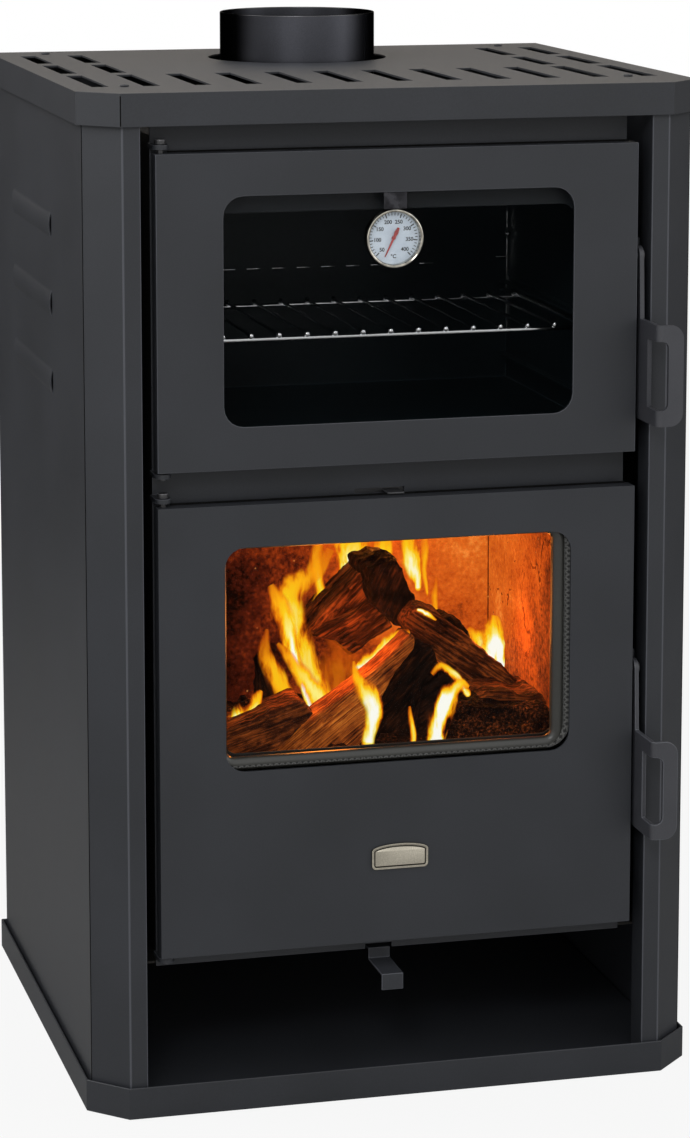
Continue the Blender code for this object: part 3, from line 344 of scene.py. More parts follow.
def makeEven(name, sockets, look):
    # An even finish: one soft pattern varies its colour, its roughness or both
    material, tree, shader = startMaterial(name, sockets)
    place = addNode(tree, "TexCoord").outputs["Object"]
    pattern = addNode(tree, "TexNoise", values={"Scale": perMm(look["patternMm"]), "Detail": look.get("detail", 2)},
                      links={"Vector": place})
    if "colours" in look:
        colour = addNode(tree, "ValToRGB", links={"Fac": pattern}, stops=look["colours"])
        feed(shader, {"Base Color": colour})
    if "roughness" in look:
        shine = addNode(tree, "MapRange", values=spans(look.get("span", (0, 1)), look["roughness"]),
                        links={"Value": pattern})
        feed(shader, {"Roughness": shine})
    return material


stovePaint = makePaint("stovePaintMatt", paintLook)

# Heat-blackened steel: mill plate with a thin scale, duller than the paint and faintly brown
innerSteelLook = {
    "dark": "#1B1A19", "light": "#272522", "edge": "#2C2A27", "roughness": (0.55, 0.75), "specular": 0.3,
    "grainMm": 3.0, "grainHeightMm": 0.08, "cloudMm": 60,
}
innerSteel = makePaint("innerSteelHeatBlackened", innerSteelLook)

# Raw cast iron: sand-cast skin, pebbled and matt
castIronLook = {
    "dark": "#141210", "light": "#2A211B", "edge": "#2E251E", "roughness": (0.7, 0.9), "specular": 0.25,
    "grainMm": 2.0, "grainHeightMm": 0.35, "cloudMm": 30,
}
castIron = makePaint("castIronRaw", castIronLook)

# Oven enamel: black vitreous enamel, fired on steel, with a cold cyan tinge
enamelLook = {
    "dark": "#10171A", "light": "#172024", "edge": "#2A3438", "roughness": (0.28, 0.4), "specular": 0.16,
    "grainMm": 5.0, "grainHeightMm": 0.02, "cloudMm": 80,
}
ovenEnamel = makePaint("ovenEnamelBlack", enamelLook)

# Inner frame enamel: the same black enamel, with painted light: a grey band along its top stands for the light it
# catches
frameLook = {**enamelLook, "dark": "#030507", "light": "#06090B", "edge": "#0C1012",
             "topBandLight": "#24272A", "topBandZ": (0.8015, 0.8045)}
frameEnamel = makePaint("frameEnamelLitTop", frameLook)
tree = frameEnamel.node_tree
place = addNode(tree, "TexCoord").outputs["Object"]
axes = addNode(tree, "SeparateXYZ", links={"Vector": place})
topBandLit = addNode(tree, "MapRange", values=spans(frameLook["topBandZ"]), links={"Value": axes.outputs["Z"]})
coverColour(frameEnamel, topBandLit, frameLook["topBandLight"])

# Collar finish: heat-blued steel pipe end; painted shade darkens it towards the left and right sides, so it shines
# down the middle and is black at the sides
collarLook = {
    "dark": "#46474C", "light": "#505157", "edge": "#5A5A5C", "roughness": (0.30, 0.38), "specular": 0.5,
    "metallic": 1.0, "grazing": "#404040", "sootAndShade": "#0C0C0D", "sideShadeX": (0.030, 0.068),
    "grainMm": 1.4, "grainHeightMm": 0.02, "cloudMm": 120,
}
collarSteel = makePaint("collarSteelBlued", collarLook)
tree = collarSteel.node_tree
tree.nodes["Principled BSDF"].inputs["Specular Tint"].default_value = linear(collarLook["grazing"])
place = addNode(tree, "TexCoord").outputs["Object"]
axes = addNode(tree, "SeparateXYZ", links={"Vector": place})
# painted shade: the colour darkens to black towards the left and right sides
aside = addNode(tree, "Math", {"operation": "ABSOLUTE"}, links={0: axes.outputs["X"]})
sideShade = addNode(tree, "MapRange", values=spans(collarLook["sideShadeX"]), links={"Value": aside})
coverColour(collarSteel, sideShade, collarLook["sootAndShade"])

# Bead paint: a second coat on the rolled window sill, a little brown and glossier
beadLook = {
    "dark": "#272724", "light": "#30302C", "edge": "#30302C", "roughness": (0.30, 0.38), "specular": 0.6,
    "grainMm": 1.4, "grainHeightMm": 0.02, "cloudMm": 90,
}
beadPaint = makePaint("beadPaintSatin", beadLook)

# Handle paint: powder coat baked on folded strip, glossier, and drawn paler than the doors: painted light for the
# light the handles catch
handleLook = {
    "dark": "#34353A", "light": "#3D3E43", "edge": "#505258", "roughness": (0.36, 0.46), "specular": 0.55,
    "grainMm": 1.4, "grainHeightMm": 0.03, "cloudMm": 60,
}
handlePaint = makePaint("handlePaintLitPaler", handleLook)

# Blackened steel: oiled and oxidised pins and slides, nearly black with a small soft shine
pinLook = {
    "dark": "#1E1E20", "light": "#2C2C2E", "edge": "#4A4A4D", "roughness": (0.30, 0.42), "specular": 0.8,
    "grainMm": 1.2, "grainHeightMm": 0.02, "cloudMm": 30,
}
pinSteel = makePaint("pinSteelBlackened", pinLook)

# Chrome plate: polished, a bright mirror with dark reflections
chromeLook = {"colour": "#D8DADC", "patternMm": 6, "roughness": (0.06, 0.18)}
chrome = makeEven("chromePlate", {"Base Color": chromeLook["colour"], "Metallic": 1.0}, chromeLook)

# Badge: cast zinc, aged to a warm dark satin, polished on its rim
badgeLook = {"dark": "#A39D8F", "light": "#C4BDAD", "groove": "#38352F", "grainMm": 1.0, "grainHeightMm": 0.05}
badgeMetal, tree, shader = startMaterial("badgeZincAged", {"Metallic": 0.7, "Roughness": 0.4})
place = addNode(tree, "TexCoord").outputs["Object"]
marks = addNode(tree, "TexNoise", values={"Scale": perMm(badgeLook["grainMm"]), "Detail": 3},
                links={"Vector": place})
colour = addNode(tree, "ValToRGB", links={"Fac": marks}, stops=((0.3, badgeLook["dark"]), (0.7, badgeLook["light"])))
# painted shade in the sunken channel, read from the groove attribute
groove = addNode(tree, "Attribute", {"attribute_name": "groove"})
colour = addNode(tree, "Mix", {"data_type": "RGBA"}, {"B": linear(badgeLook["groove"])},
                 {"Factor": groove.outputs["Fac"], "A": colour})
bump = addNode(tree, "Bump", values={"Distance": badgeLook["grainHeightMm"] / 1000, "Strength": 0.3},
               links={"Height": marks})
feed(shader, {"Base Color": colour, "Normal": bump})

# Glass ceramic, polished: nearly clear, with a tint that only its edge shows and faint wiping smudges
glassLook = {"patternMm": 45, "detail": 3, "span": (0.35, 0.75), "roughness": (0.02, 0.09)}
doorGlass = makeEven("doorGlassCeramic", {"Base Color": "#05080A", "Alpha": 0.10, "Specular IOR Level": 0.06},
                     glassLook)

# Seal rope: braided glass fibre, grey and fuzzy
ropeLook = {"dark": "#161616", "light": "#5E5E5C", "strandMm": 2.2, "strandHeightMm": 0.5, "slant": 35,
            "fuzzMm": 0.9}
sealRope, tree, shader = startMaterial("sealRopeBraided", {"Roughness": 0.95, "Sheen Weight": 0.3})
place = addNode(tree, "UVMap", {"uv_map": "UVMap"})
strands = []
for turn in (ropeLook["slant"], -ropeLook["slant"]):
    slant = addNode(tree, "Mapping", values={"Rotation": (0, 0, math.radians(turn))}, links={"Vector": place})
    strands.append(addNode(tree, "TexWave", {"wave_profile": "SIN"},
                           {"Scale": perMm(ropeLook["strandMm"]) / (2 * math.pi), "Distortion": 0.6, "Detail": 1},
                           {"Vector": slant}))
weave = addNode(tree, "Math", {"operation": "MAXIMUM"},
                links={0: strands[0].outputs["Fac"], 1: strands[1].outputs["Fac"]})
fuzz = addNode(tree, "TexNoise", values={"Scale": perMm(ropeLook["fuzzMm"]), "Detail": 2}, links={"Vector": place})
rough = addNode(tree, "Math", {"operation": "MULTIPLY"}, links={0: weave, 1: fuzz})
colour = addNode(tree, "ValToRGB", links={"Fac": rough}, stops=((0.2, ropeLook["dark"]), (0.6, ropeLook["light"])))
bump = addNode(tree, "Bump", values={"Distance": ropeLook["strandHeightMm"] / 1000}, links={"Height": rough})
feed(shader, {"Base Color": colour, "Normal": bump})

# Firebrick: pressed refractory, sooty and pitted; the fire's light on it is painted in as an emission, brightest round
# one centre
brickLook = {
    "sootAndShade": "#1A0B05", "clay": "#6A3216", "grainMm": 5, "grainHeightMm": 1.5, "patchMm": 55,
    "glow": ((0.14, "#0A0402"), (0.96, "#F59A40"), (0.32, "#3E140A"), (0.48, "#883410"), (0.62, "#C85214"),
             (0.80, "#E06E20")),
    "firelightCentre": (0.190, 0.060, 0.430), "firelightReach": (0.03, 0.34), "firelightFalloff": (0.40, -0.24),
    "mottleShare": 0.55, "mottleSpan": (0.36, 0.64), "mottleFirelight": (0.20, 0.58),
    "crackMm": 62, "crackFrom": 0.184, "crackSpan": (0.50, 0.56), "crackWidth": (0, 0.030), "crackShare": 0.8,
    "crackBend": 0.10, "crackColour": "#2A0C04",
    "jointAt": (0.187, 0.091, 0.0), "jointWidth": 0.0022,
    "sparkMm": 16, "sparkSize": 0.055, "sparkShare": 0.45, "sparkColour": "#FFB060",
}
fireBrick, tree, shader = startMaterial("firebrickSooty", {"Roughness": 0.95, "Specular IOR Level": 0.1,
                                                          "Emission Strength": 1.0})
place = addNode(tree, "TexCoord").outputs["Object"]
grain = addNode(tree, "TexNoise", values={"Scale": perMm(brickLook["grainMm"]), "Detail": 6, "Roughness": 0.7},
                links={"Vector": place})
patch = addNode(tree, "TexNoise", values={"Scale": perMm(brickLook["patchMm"]), "Detail": 4, "Roughness": 0.6},
                links={"Vector": place})
mottle = addNode(tree, "Mix", {"data_type": "FLOAT"}, {"Factor": brickLook["mottleShare"]}, {"A": grain, "B": patch})
clay = addNode(tree, "ValToRGB", links={"Fac": mottle}, stops=((0.38, brickLook["sootAndShade"]), (0.62, brickLook["clay"])))
# painted firelight: the emission grows towards one centre and with the mottle
firelightDistance = addNode(tree, "VectorMath", {"operation": "DISTANCE"}, {1: brickLook["firelightCentre"]}, {0: place})
reach = addNode(tree, "MapRange", values=spans(brickLook["firelightReach"], brickLook["firelightFalloff"]), links={"Value": firelightDistance})
spread = addNode(tree, "MapRange", values=spans(brickLook["mottleSpan"], brickLook["mottleFirelight"]),
                 links={"Value": mottle})
firelightLevel = addNode(tree, "Math", {"operation": "ADD"}, links={0: spread, 1: reach})
glow = addNode(tree, "ValToRGB", links={"Fac": firelightLevel}, stops=brickLook["glow"])

# cracks and pits only on the right brick, and a dark joint in the corner
bent = addNode(tree, "Mix", {"data_type": "VECTOR"}, {"Factor": brickLook["crackBend"]},
               {"A": place, "B": patch.outputs["Color"]})
crack = addNode(tree, "TexVoronoi", {"feature": "DISTANCE_TO_EDGE"}, {"Scale": perMm(brickLook["crackMm"])},
                {"Vector": bent})
axes = addNode(tree, "SeparateXYZ", links={"Vector": place})
atRight = addNode(tree, "Math", {"operation": "GREATER_THAN"}, {1: brickLook["crackFrom"]}, {0: axes.outputs["X"]})
broken = addNode(tree, "MapRange", values=spans(brickLook["crackSpan"], brickLook["crackWidth"]),
                 links={"Value": patch})
width = addNode(tree, "Math", {"operation": "MULTIPLY"}, links={0: broken, 1: atRight})
crackLine = addNode(tree, "Math", {"operation": "LESS_THAN"}, links={0: crack, 1: width})
flat = addNode(tree, "Mapping", values={"Scale": (1, 1, 0)}, links={"Vector": place})
corner = addNode(tree, "VectorMath", {"operation": "DISTANCE"}, {1: brickLook["jointAt"]}, {0: flat})
joint = addNode(tree, "Math", {"operation": "LESS_THAN"}, {1: brickLook["jointWidth"]}, {0: corner})
dark = addNode(tree, "Math", {"operation": "MAXIMUM"}, links={0: crackLine, 1: joint})
speck = addNode(tree, "TexVoronoi", {"feature": "F1"}, {"Scale": perMm(brickLook["sparkMm"])}, {"Vector": place})
spark = addNode(tree, "Math", {"operation": "LESS_THAN"}, {1: brickLook["sparkSize"]}, {0: speck})
fireLit = glow
for mark, share, colour in ((dark, "crackShare", "crackColour"), (spark, "sparkShare", "sparkColour")):
    part = addNode(tree, "Math", {"operation": "MULTIPLY"}, {1: brickLook[share]}, {0: mark})
    fireLit = addNode(tree, "Mix", {"data_type": "RGBA"}, {"B": linear(brickLook[colour])},
                      {"Factor": part, "A": fireLit})
bump = addNode(tree, "Bump", values={"Distance": brickLook["grainHeightMm"] / 1000}, links={"Height": grain})
feed(shader, {"Base Color": clay, "Emission Color": fireLit, "Normal": bump})
print("finishes of the stove made")


# Sheet pieces with their edges rounded
sheetPieces = {
    "stovePaint": (stovePaint, "stove_paint", {
        "top_cover": 0.0011, "base_tray": 0.0009, "wood_store_floor": 0.0006, "left_side_panel": 0.0003,
        "right_side_panel": 0.0003, "left_corner_post": 0.0012, "right_corner_post": 0.0012,
        "back_panel": 0.0005, "front_frame": 0.0006, "oven_latch_catch": 0.0006,
        "fire_latch_catch": 0.0006, "oven_door_panel": 0.0011, "fire_door_panel": 0.0011,
        "primary_air_lever": 0.0006,
    }),
    "collarSteel": (collarSteel, "stove_paint", {"flue_collar": 0.0008}),
    "handlePaint": (handlePaint, "stove_paint", {"oven_handle": 0.0012, "fire_handle": 0.0012}),
    "innerSteel": (innerSteel, "inner_steel", {
        "body_shell": 0.001, "left_support_rail": 0.0006, "right_support_rail": 0.0006, "smoke_baffle": 0.0006,
        "ash_pan": 0.0004, "primary_air_damper": 0.0005, "primary_air_guide": 0.0004,
        "secondary_air_channel": 0.0006, "fire_door_inner_frame": 0.0008,
    }),
    "castIron": (castIron, "cast_iron", {"hearth_plate": 0.001, "grate": 0.0012, "log_guard": 0.001}),
    "enamel": (ovenEnamel, "oven_enamel", {"oven_box": 0.001, "left_oven_runner": 0.0004,
                                           "right_oven_runner": 0.0004}),
    "frameEnamel": (frameEnamel, "oven_enamel", {"oven_door_inner_frame": 0.0008}),
    "pinSteel": (pinSteel, "bright_steel", {
        "oven_door_upper_pin": 0.0012, "oven_door_lower_pin": 0.0003, "fire_door_upper_pin": 0.0012,
        "fire_door_lower_pin": 0.0003, "oven_handle_pin": 0.0008, "fire_handle_pin": 0.0008,
        "secondary_air_slider": 0.0004,
    }),
    "brick": (fireBrick, "firebrick", {"back_brick": 0.002, "left_brick": 0.002, "right_brick": 0.002}),
    "glass": (doorGlass, "door_glass", {"oven_door_glass": 0.0006, "fire_door_glass": 0.0006}),
}
noEdgeHighlight = ("top_cover", "base_tray", "wood_store_floor")    # their edges get no painted highlight
for material, slot, widths in sheetPieces.values():
    for nodeName, width in widths.items():
        piece = softened(nodeName, width, 0.0 if nodeName in noEdgeHighlight else 1.0)
        dress(piece, nodeName + "_finished", material, frame["nodes"][nodeName]["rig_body"], [nodeName])
print("sheet pieces rounded")


# Screws on the cover: pan heads with a cross recess
screws = {"places": ((-0.232, -0.183), (0.232, -0.183), (-0.232, 0.222), (0.232, 0.222)), "radius": 0.0042,
          "height": 0.0018, "recess": 0.0008, "roundness": 0.7, "slotReach": 1.1}
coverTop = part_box("top_cover")[1].z
firstX, firstY = screws["places"][0]
bpy.ops.object.select_all(action="DESELECT")
bpy.ops.mesh.primitive_cylinder_add(vertices=24, radius=screws["radius"], depth=screws["height"],
                                    location=(firstX, firstY, coverTop + screws["height"] / 2))
head = bpy.context.object
roundEdges(head, screws["height"] * screws["roundness"], 4)
reach = screws["radius"] * screws["slotReach"]
for width, length in ((screws["recess"], reach), (reach, screws["recess"])):
    bpy.ops.object.select_all(action="DESELECT")
    bpy.ops.mesh.primitive_cube_add(size=1, location=(firstX, firstY, coverTop + screws["height"]))
    slotCutter = bpy.context.object
    slotCutter.scale = (width, length, screws["recess"] * 2)
    modify(head, "BOOLEAN", {"object": slotCutter, "operation": "DIFFERENCE", "solver": "EXACT"})
    bpy.data.objects.remove(slotCutter)
smoothUpTo(head, 25)
heads = copiesOf(head, [(x - firstX, y - firstY, 0) for x, y in screws["places"][1:]])
dress(joinPieces(heads), "cover_screws", stovePaint, "stove_body")
print("cover screws made")


# Painted shade in the open seams of the folded sheet: thin black strips stand for the shade in the slit at the cover's
# left corner and in those beside the posts
seam = {"wide": 0.0010, "proud": 0.00006, "deep": 0.0014, "sideDeep": 0.0010, "foot": 0.0008, "head": 0.0022,
        "sideEnds": 0.001, "bevel": 0.0001}
seamLook = {"patternMm": 3, "colours": ((0.3, "#030303"), (0.7, "#0C0C0C"))}
seamShade = makeEven("seamPaintedShade", {"Roughness": 0.9, "Specular IOR Level": 0.1}, seamLook)
coverLow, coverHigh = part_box("top_cover")
foldX = min(corner.co.x for corner in frame["nodes"]["top_cover"].data.vertices if corner.co.y < coverLow.y + near)
half = seam["wide"] / 2
seams = [addBlock((foldX - half, foldX + half), (coverLow.y - seam["proud"], coverLow.y + seam["deep"]),
                  (coverLow.z + seam["foot"], coverHigh.z - seam["head"]), seam["bevel"])]
for nodeName, outward in (("left_corner_post", -1), ("right_corner_post", 1)):
    low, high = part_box(nodeName)
    outside = low.x if outward < 0 else high.x
    seams.append(addBlock(sorted((outside + outward * seam["proud"], outside - outward * seam["sideDeep"])),
                          (high.y - half, high.y + half), (low.z + seam["sideEnds"], high.z - seam["sideEnds"]),
                          seam["bevel"]))
dress(joinPieces(seams), "sheet_seam_shade", seamShade, "stove_body")

# A black strip above each door: painted shade that stands for the dark gap between the door and the frame
doorGapShade = {"left": 0.014, "right": 0.004, "thick": 0.0018, "off": 0.0004, "sunk": 0.0003, "rise": 0.0015}
for door in ("oven_door", "fire_door"):
    low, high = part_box(door + "_panel")
    back = high.y - doorGapShade["off"]
    gapShadeStrip = addBlock((low.x + doorGapShade["left"], high.x - doorGapShade["right"]), (back - doorGapShade["thick"], back),
                         (high.z - doorGapShade["sunk"], high.z + doorGapShade["rise"]))
    dress(gapShadeStrip, door + "_gap_shade", seamShade, door)
print("seams drawn")


# Rope seals, gasket and the bead round the fire window, laid along the CAD rings
def ringOf(nodeName, name, radius, cornerRadius, material, body, raised=0.0):
    low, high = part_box(nodeName)
    low.z += raised
    half = (high.y - low.y) / 2
    size = (high.x - low.x - 2 * half, high.z - low.z - 2 * half)
    piece = cordRing(size, (low + high) / 2, facing, cornerRadius, radius)
    return dress(piece, name, material, body, [nodeName])


ringOf("oven_door_seal", "oven_seal_rope", 0.0040, 0.016, sealRope, "oven_door")
ringOf("fire_door_seal", "fire_seal_rope", 0.0040, 0.016, sealRope, "fire_door")
ringOf("oven_glass_gasket", "oven_glass_rope", 0.0044, 0.024, sealRope, "oven_door")
ringOf("fire_glass_rope", "fire_glass_cord", 0.0040, 0.021, sealRope, "fire_door", 0.0085)
ringOf("fire_window_bezel", "fire_bezel_bead", 0.0062, 0.012, beadPaint, "fire_door")
print("ropes laid")


# Oven rack: chromed wires over a bent rail, each with a rounded end at the front
rack = {"railRadius": 0.0020, "wireRadius": 0.0016, "beadRadius": 0.0029, "pitch": 0.0257, "shift": 0.0055,
        "wiresEachSide": 7, "cornerRadius": 0.008, "frontBite": 0.4, "wireShort": 0.001, "beadShort": 0.002}
rackLow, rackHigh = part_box("oven_rack")
wireZ = rackHigh.z + rack["wireRadius"]
wireX = rack["shift"] - rack["wiresEachSide"] * rack["pitch"]
frontY = rackLow.y + rack["beadRadius"] * rack["frontBite"]
railSize = (rackHigh.x - rackLow.x - 2 * rack["railRadius"], rackHigh.y - rackLow.y - 2 * rack["railRadius"])
rackPieces = [cordRing(railSize, (rackLow + rackHigh) / 2, (0, 0, 0), rack["cornerRadius"], rack["railRadius"], 0.02)]
bpy.ops.object.select_all(action="DESELECT")
bpy.ops.mesh.primitive_circle_add(vertices=12, radius=rack["wireRadius"], fill_type="NGON", rotation=facing,
                                  location=(wireX, frontY, wireZ))
wire = bpy.context.object
drawOut(wire, rackHigh.y - frontY - rack["wireShort"])
beads = []
for y in (frontY, rackHigh.y - rack["beadShort"]):
    bpy.ops.object.select_all(action="DESELECT")
    bpy.ops.mesh.primitive_uv_sphere_add(segments=16, ring_count=10, radius=rack["beadRadius"],
                                         location=(wireX, y, wireZ))
    beads.append(bpy.context.object)
wire = joinPieces([wire] + beads)
smoothUpTo(wire, 40)
rackPieces += copiesOf(wire, [(index * rack["pitch"], 0, 0) for index in range(1, 2 * rack["wiresEachSide"] + 1)])
for piece in rackPieces:
    dropUvMaps(piece)
dress(joinPieces(rackPieces), "oven_rack_wires", chrome, "oven_rack", ["oven_rack"])
print("rack made")


# Row of small bright lugs on the oven's back wall, above the rack
lugs = {"count": 12, "firstX": -0.152, "pitch": 0.0248, "length": 0.014, "radius": 0.0008, "z": 0.714,
        "wallY": 0.0938, "rounding": 0.0005}
bpy.ops.object.select_all(action="DESELECT")
bpy.ops.mesh.primitive_cylinder_add(vertices=12, radius=lugs["radius"], depth=lugs["length"],
                                    rotation=(0, math.radians(90), 0),
                                    location=(lugs["firstX"], lugs["wallY"], lugs["z"]))
lug = bpy.context.object
roundEdges(lug, lugs["rounding"])
smoothUpTo(lug, 40)
dropUvMaps(lug)
row = copiesOf(lug, [(index * lugs["pitch"], 0, 0) for index in range(1, lugs["count"])])
dress(joinPieces(row), "oven_back_lugs", chrome, "stove_body")
print("back lugs made")


# Bright cut edge of the right side rack holder, with its screw and tabs
holder = {
    "edgeX": (0.2004, 0.2016), "edgeY": (0.0846, 0.0860),
    "dashes": ((0.6465, 0.6560), (0.6600, 0.6800), (0.6835, 0.7060), (0.7085, 0.7180), (0.7200, 0.7370),
               (0.7480, 0.7520), (0.7545, 0.7640)),
    "tabs": ((0.1915, 0.2020, 0.7180), (0.1955, 0.2020, 0.6610), (0.1895, 0.2020, 0.6480)),
    "tabThickness": 0.0010, "tabY": (0.0905, 0.0920), "screw": (0.1996, 0.0780, 0.7425), "screwRadius": 0.0030,
}
parts = [addBlock(holder["edgeX"], holder["edgeY"], dash) for dash in holder["dashes"]]
for left, right, level in holder["tabs"]:
    parts.append(addBlock((left, right), holder["tabY"], (level, level + holder["tabThickness"])))
screwShape = ((0.9, 0.003), (1.0, 0.0026), (1.0, 0.0014), (0.8, 0.0006), (0.45, 0.0), (0.4, 0.0006))
parts.append(turnedPiece([(holder["screwRadius"] * share, depth) for share, depth in screwShape],
                         Vector(holder["screw"]), 20))
dress(joinPieces(parts), "rack_holder_edge", chrome, "stove_body")
print("rack holder edge made")


# Thermometer: rolled bezel, printed dial, ticks and plain numbers
gauge = {
    "rimWidth": 0.0029, "numberRadius": 0.0147, "numberHeight": 0.0047, "boldness": 0.00014,
    "tickOuter": 0.0222, "tickShort": 0.0024, "tickLong": 0.0038, "tickWidth": 0.00065, "printDepth": 0.00006,
    "firstAngle": 225.0, "lastAngle": 495.0, "firstValue": 50, "lastValue": 400, "step": 10, "numberStep": 50,
    "unitRadius": 0.0165, "boldTick": 1.5,
}
caseLow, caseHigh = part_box("thermometer_case")
dialLow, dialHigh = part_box("thermometer_dial")
gaugeCentre = Vector(((caseLow.x + caseHigh.x) / 2, caseLow.y, (caseLow.z + caseHigh.z) / 2))
gaugeRadius = (caseHigh.x - caseLow.x) / 2
depth = caseHigh.y - caseLow.y
inner = gaugeRadius - gauge["rimWidth"]
rim = turnedPiece((
    (gaugeRadius - 0.0008, depth), (gaugeRadius, depth - 0.0008), (gaugeRadius, 0.0016),
    (gaugeRadius - 0.0004, 0.0005), (gaugeRadius - 0.0012, 0.0), (inner + 0.0009, 0.0003), (inner + 0.0002, 0.0010),
    (inner, 0.0020), (inner, dialHigh.y - caseLow.y + 0.0002),
), gaugeCentre)

# Gauge metal: polished steel bezel, a grey mirror that shows its bends, and the strap as the same steel drawn darker:
# a painted reflection of a dim room
rimLook = {"patternMm": 7, "colours": ((0.35, "#8A8882"), (0.65, "#C2BEB2")), "roughness": (0.098, 0.182)}
strapLook = {"patternMm": 7, "colours": ((0.35, "#2E2E31"), (0.65, "#48484C")), "roughness": (0.182, 0.338)}
gaugeMetal = makeEven("gaugeSteelPolished", {"Metallic": 1.0}, rimLook)
strapMetal = makeEven("strapSteelDarkReflection", {"Metallic": 1.0}, strapLook)
dress(rim, "thermometer_rim", gaugeMetal, "oven_door", ["thermometer_case"])

# Dial: satin white lacquer on tin, a little blue, with flat black print
paperLook = {"patternMm": 14, "colours": ((0.35, "#B4C1CF"), (0.65, "#C6D2DE"))}
inkLook = {"patternMm": 2, "colours": ((0.3, "#0A0E12"), (0.7, "#141A20"))}
dialWhite = makeEven("dialLacquerWhite", {"Roughness": 0.45}, paperLook)
dialInk = makeEven("dialInkBlack", {"Roughness": 0.6}, inkLook)

# Needle: thin red paint. Lens: flat clear glass that hardly shows
needleLook = {"patternMm": 5, "colours": ((0.3, "#7E100C"), (0.7, "#B01C14"))}
lensLook = {"patternMm": 18, "roughness": (0.01, 0.06)}
needleRed = makeEven("needlePaintRed", {"Roughness": 0.4}, needleLook)
lensGlass = makeEven("gaugeGlassClear", {"Base Color": "#F4F8FA", "Alpha": 0.03, "Specular IOR Level": 0.1}, lensLook)
for nodeName, material in (("thermometer_dial", dialWhite), ("thermometer_needle", needleRed),
                           ("thermometer_lens", lensGlass)):
    cadNode = frame["nodes"][nodeName]
    cadNode.data.materials.clear()
    cadNode.data.materials.append(material)


def onDial(angle, radius, depth):
    # A point over the dial, with its angle clockwise from upright
    turn = math.radians(angle)
    return Vector((gaugeCentre.x + radius * math.sin(turn), dialLow.y - depth,
                   gaugeCentre.z + radius * math.cos(turn)))


def printText(words, place):
    # Words as a thin mesh that faces the front
    bpy.ops.object.select_all(action="DESELECT")
    bpy.ops.object.text_add(location=place, rotation=facing)
    text = bpy.context.object
    for key, value in (("body", words), ("size", gauge["numberHeight"]), ("align_x", "CENTER"), ("align_y", "CENTER"),
                       ("extrude", gauge["printDepth"] / 2), ("offset", gauge["boldness"])):
        setattr(text.data, key, value)
    bpy.ops.object.convert(target="MESH")
    return bpy.context.object


printed = []
values = range(gauge["firstValue"], gauge["lastValue"] + 1, gauge["step"])
for index, value in enumerate(values):
    angle = gauge["firstAngle"] + (gauge["lastAngle"] - gauge["firstAngle"]) * index / (len(values) - 1)
    isLong = value % gauge["numberStep"] == 0
    length = gauge["tickLong"] if isLong else gauge["tickShort"]
    bpy.ops.object.select_all(action="DESELECT")
    bpy.ops.mesh.primitive_cube_add(size=1, rotation=(0, math.radians(angle), 0),
                                    location=onDial(angle, gauge["tickOuter"] - length / 2, gauge["printDepth"]))
    tick = bpy.context.object
    tick.scale = (gauge["tickWidth"] * (gauge["boldTick"] if isLong else 1), gauge["printDepth"], length)
    printed.append(tick)
    if isLong:
        printed.append(printText(str(value), onDial(angle, gauge["numberRadius"], gauge["printDepth"])))
printed.append(printText("°C", onDial(180, gauge["unitRadius"], gauge["printDepth"])))
dress(joinPieces(printed), "dial_print", dialInk, "oven_door")
piece = softened("thermometer_hanger", 0.0003)
dress(piece, "thermometer_strap", strapMetal, "oven_door", ["thermometer_hanger"])
print("thermometer made")


# Badge: a bare arched plate with a raised rim
badge = {"rim": 0.0016, "recess": 0.0008, "edge": 0.0005, "faceWithin": 0.00005, "shadeFrom": 0.0001}
piece = softened("badge_plate", badge["edge"])
activate(piece)
frontY = min(corner.co.y for corner in piece.data.vertices)
for face in piece.data.polygons:
    face.select = face.normal.y < -0.99 and face.center.y < frontY + badge["faceWithin"] and len(face.vertices) > 8
bpy.ops.object.mode_set(mode="EDIT")
bpy.ops.mesh.inset(thickness=badge["rim"])
bpy.ops.mesh.inset(thickness=badge["recess"] / 2, depth=-badge["recess"])
bpy.ops.mesh.inset(thickness=badge["recess"], depth=badge["recess"] * 0.5)
bpy.ops.object.mode_set(mode="OBJECT")
groove = piece.data.attributes.new("groove", "FLOAT", "FACE")
for face in piece.data.polygons:    # painted shade: the sunken channel round the face and the plate's own flank are drawn darker
    inChannel = frontY + badge["shadeFrom"] < face.center.y and face.normal.y < 0.5
    groove.data[face.index].value = 0.0 if face.select or not inChannel else 1.0
dress(piece, "badge_plate_rimmed", badgeMetal, "fire_door", ["badge_plate"])
print("badge made")


# What burns: split logs on an ember bed, with flames. They are contents of the firebox.
logLook = {
    "bark": {"grainMm": 2.6, "stretch": 0.05, "rough": 0.006, "colours": (
        (0.38, "#0C0402"), (0.80, "#C0742C"), (0.49, "#341608"), (0.60, "#6E3412"), (0.70, "#96501C"))},
    "split": {"grainMm": 1.5, "stretch": 0.02, "rough": 0.003, "colours": (
        (0.36, "#1C0A04"), (0.80, "#E09A4A"), (0.46, "#5A280E"), (0.56, "#8E4A18"), (0.66, "#B86C26"))},
    "charred": {"grainMm": 3.2, "stretch": 0.10, "rough": 0.009, "colours": (
        (0.40, "#040201"), (0.84, "#8A4A20"), (0.52, "#150905"), (0.62, "#301609"), (0.72, "#522810"))},
    "ember": {"grainMm": 2.4, "stretch": 0.90, "rough": 0.012, "colours": (
        (0.44, "#080302"), (0.80, "#F08A24"), (0.54, "#231007"), (0.62, "#5A2A10"), (0.70, "#9A4E1A"))},
}
woodPattern = {"patchMm": 24, "patchShare": 0.40, "fibreHeightMm": 1.5, "glow": 0.85}


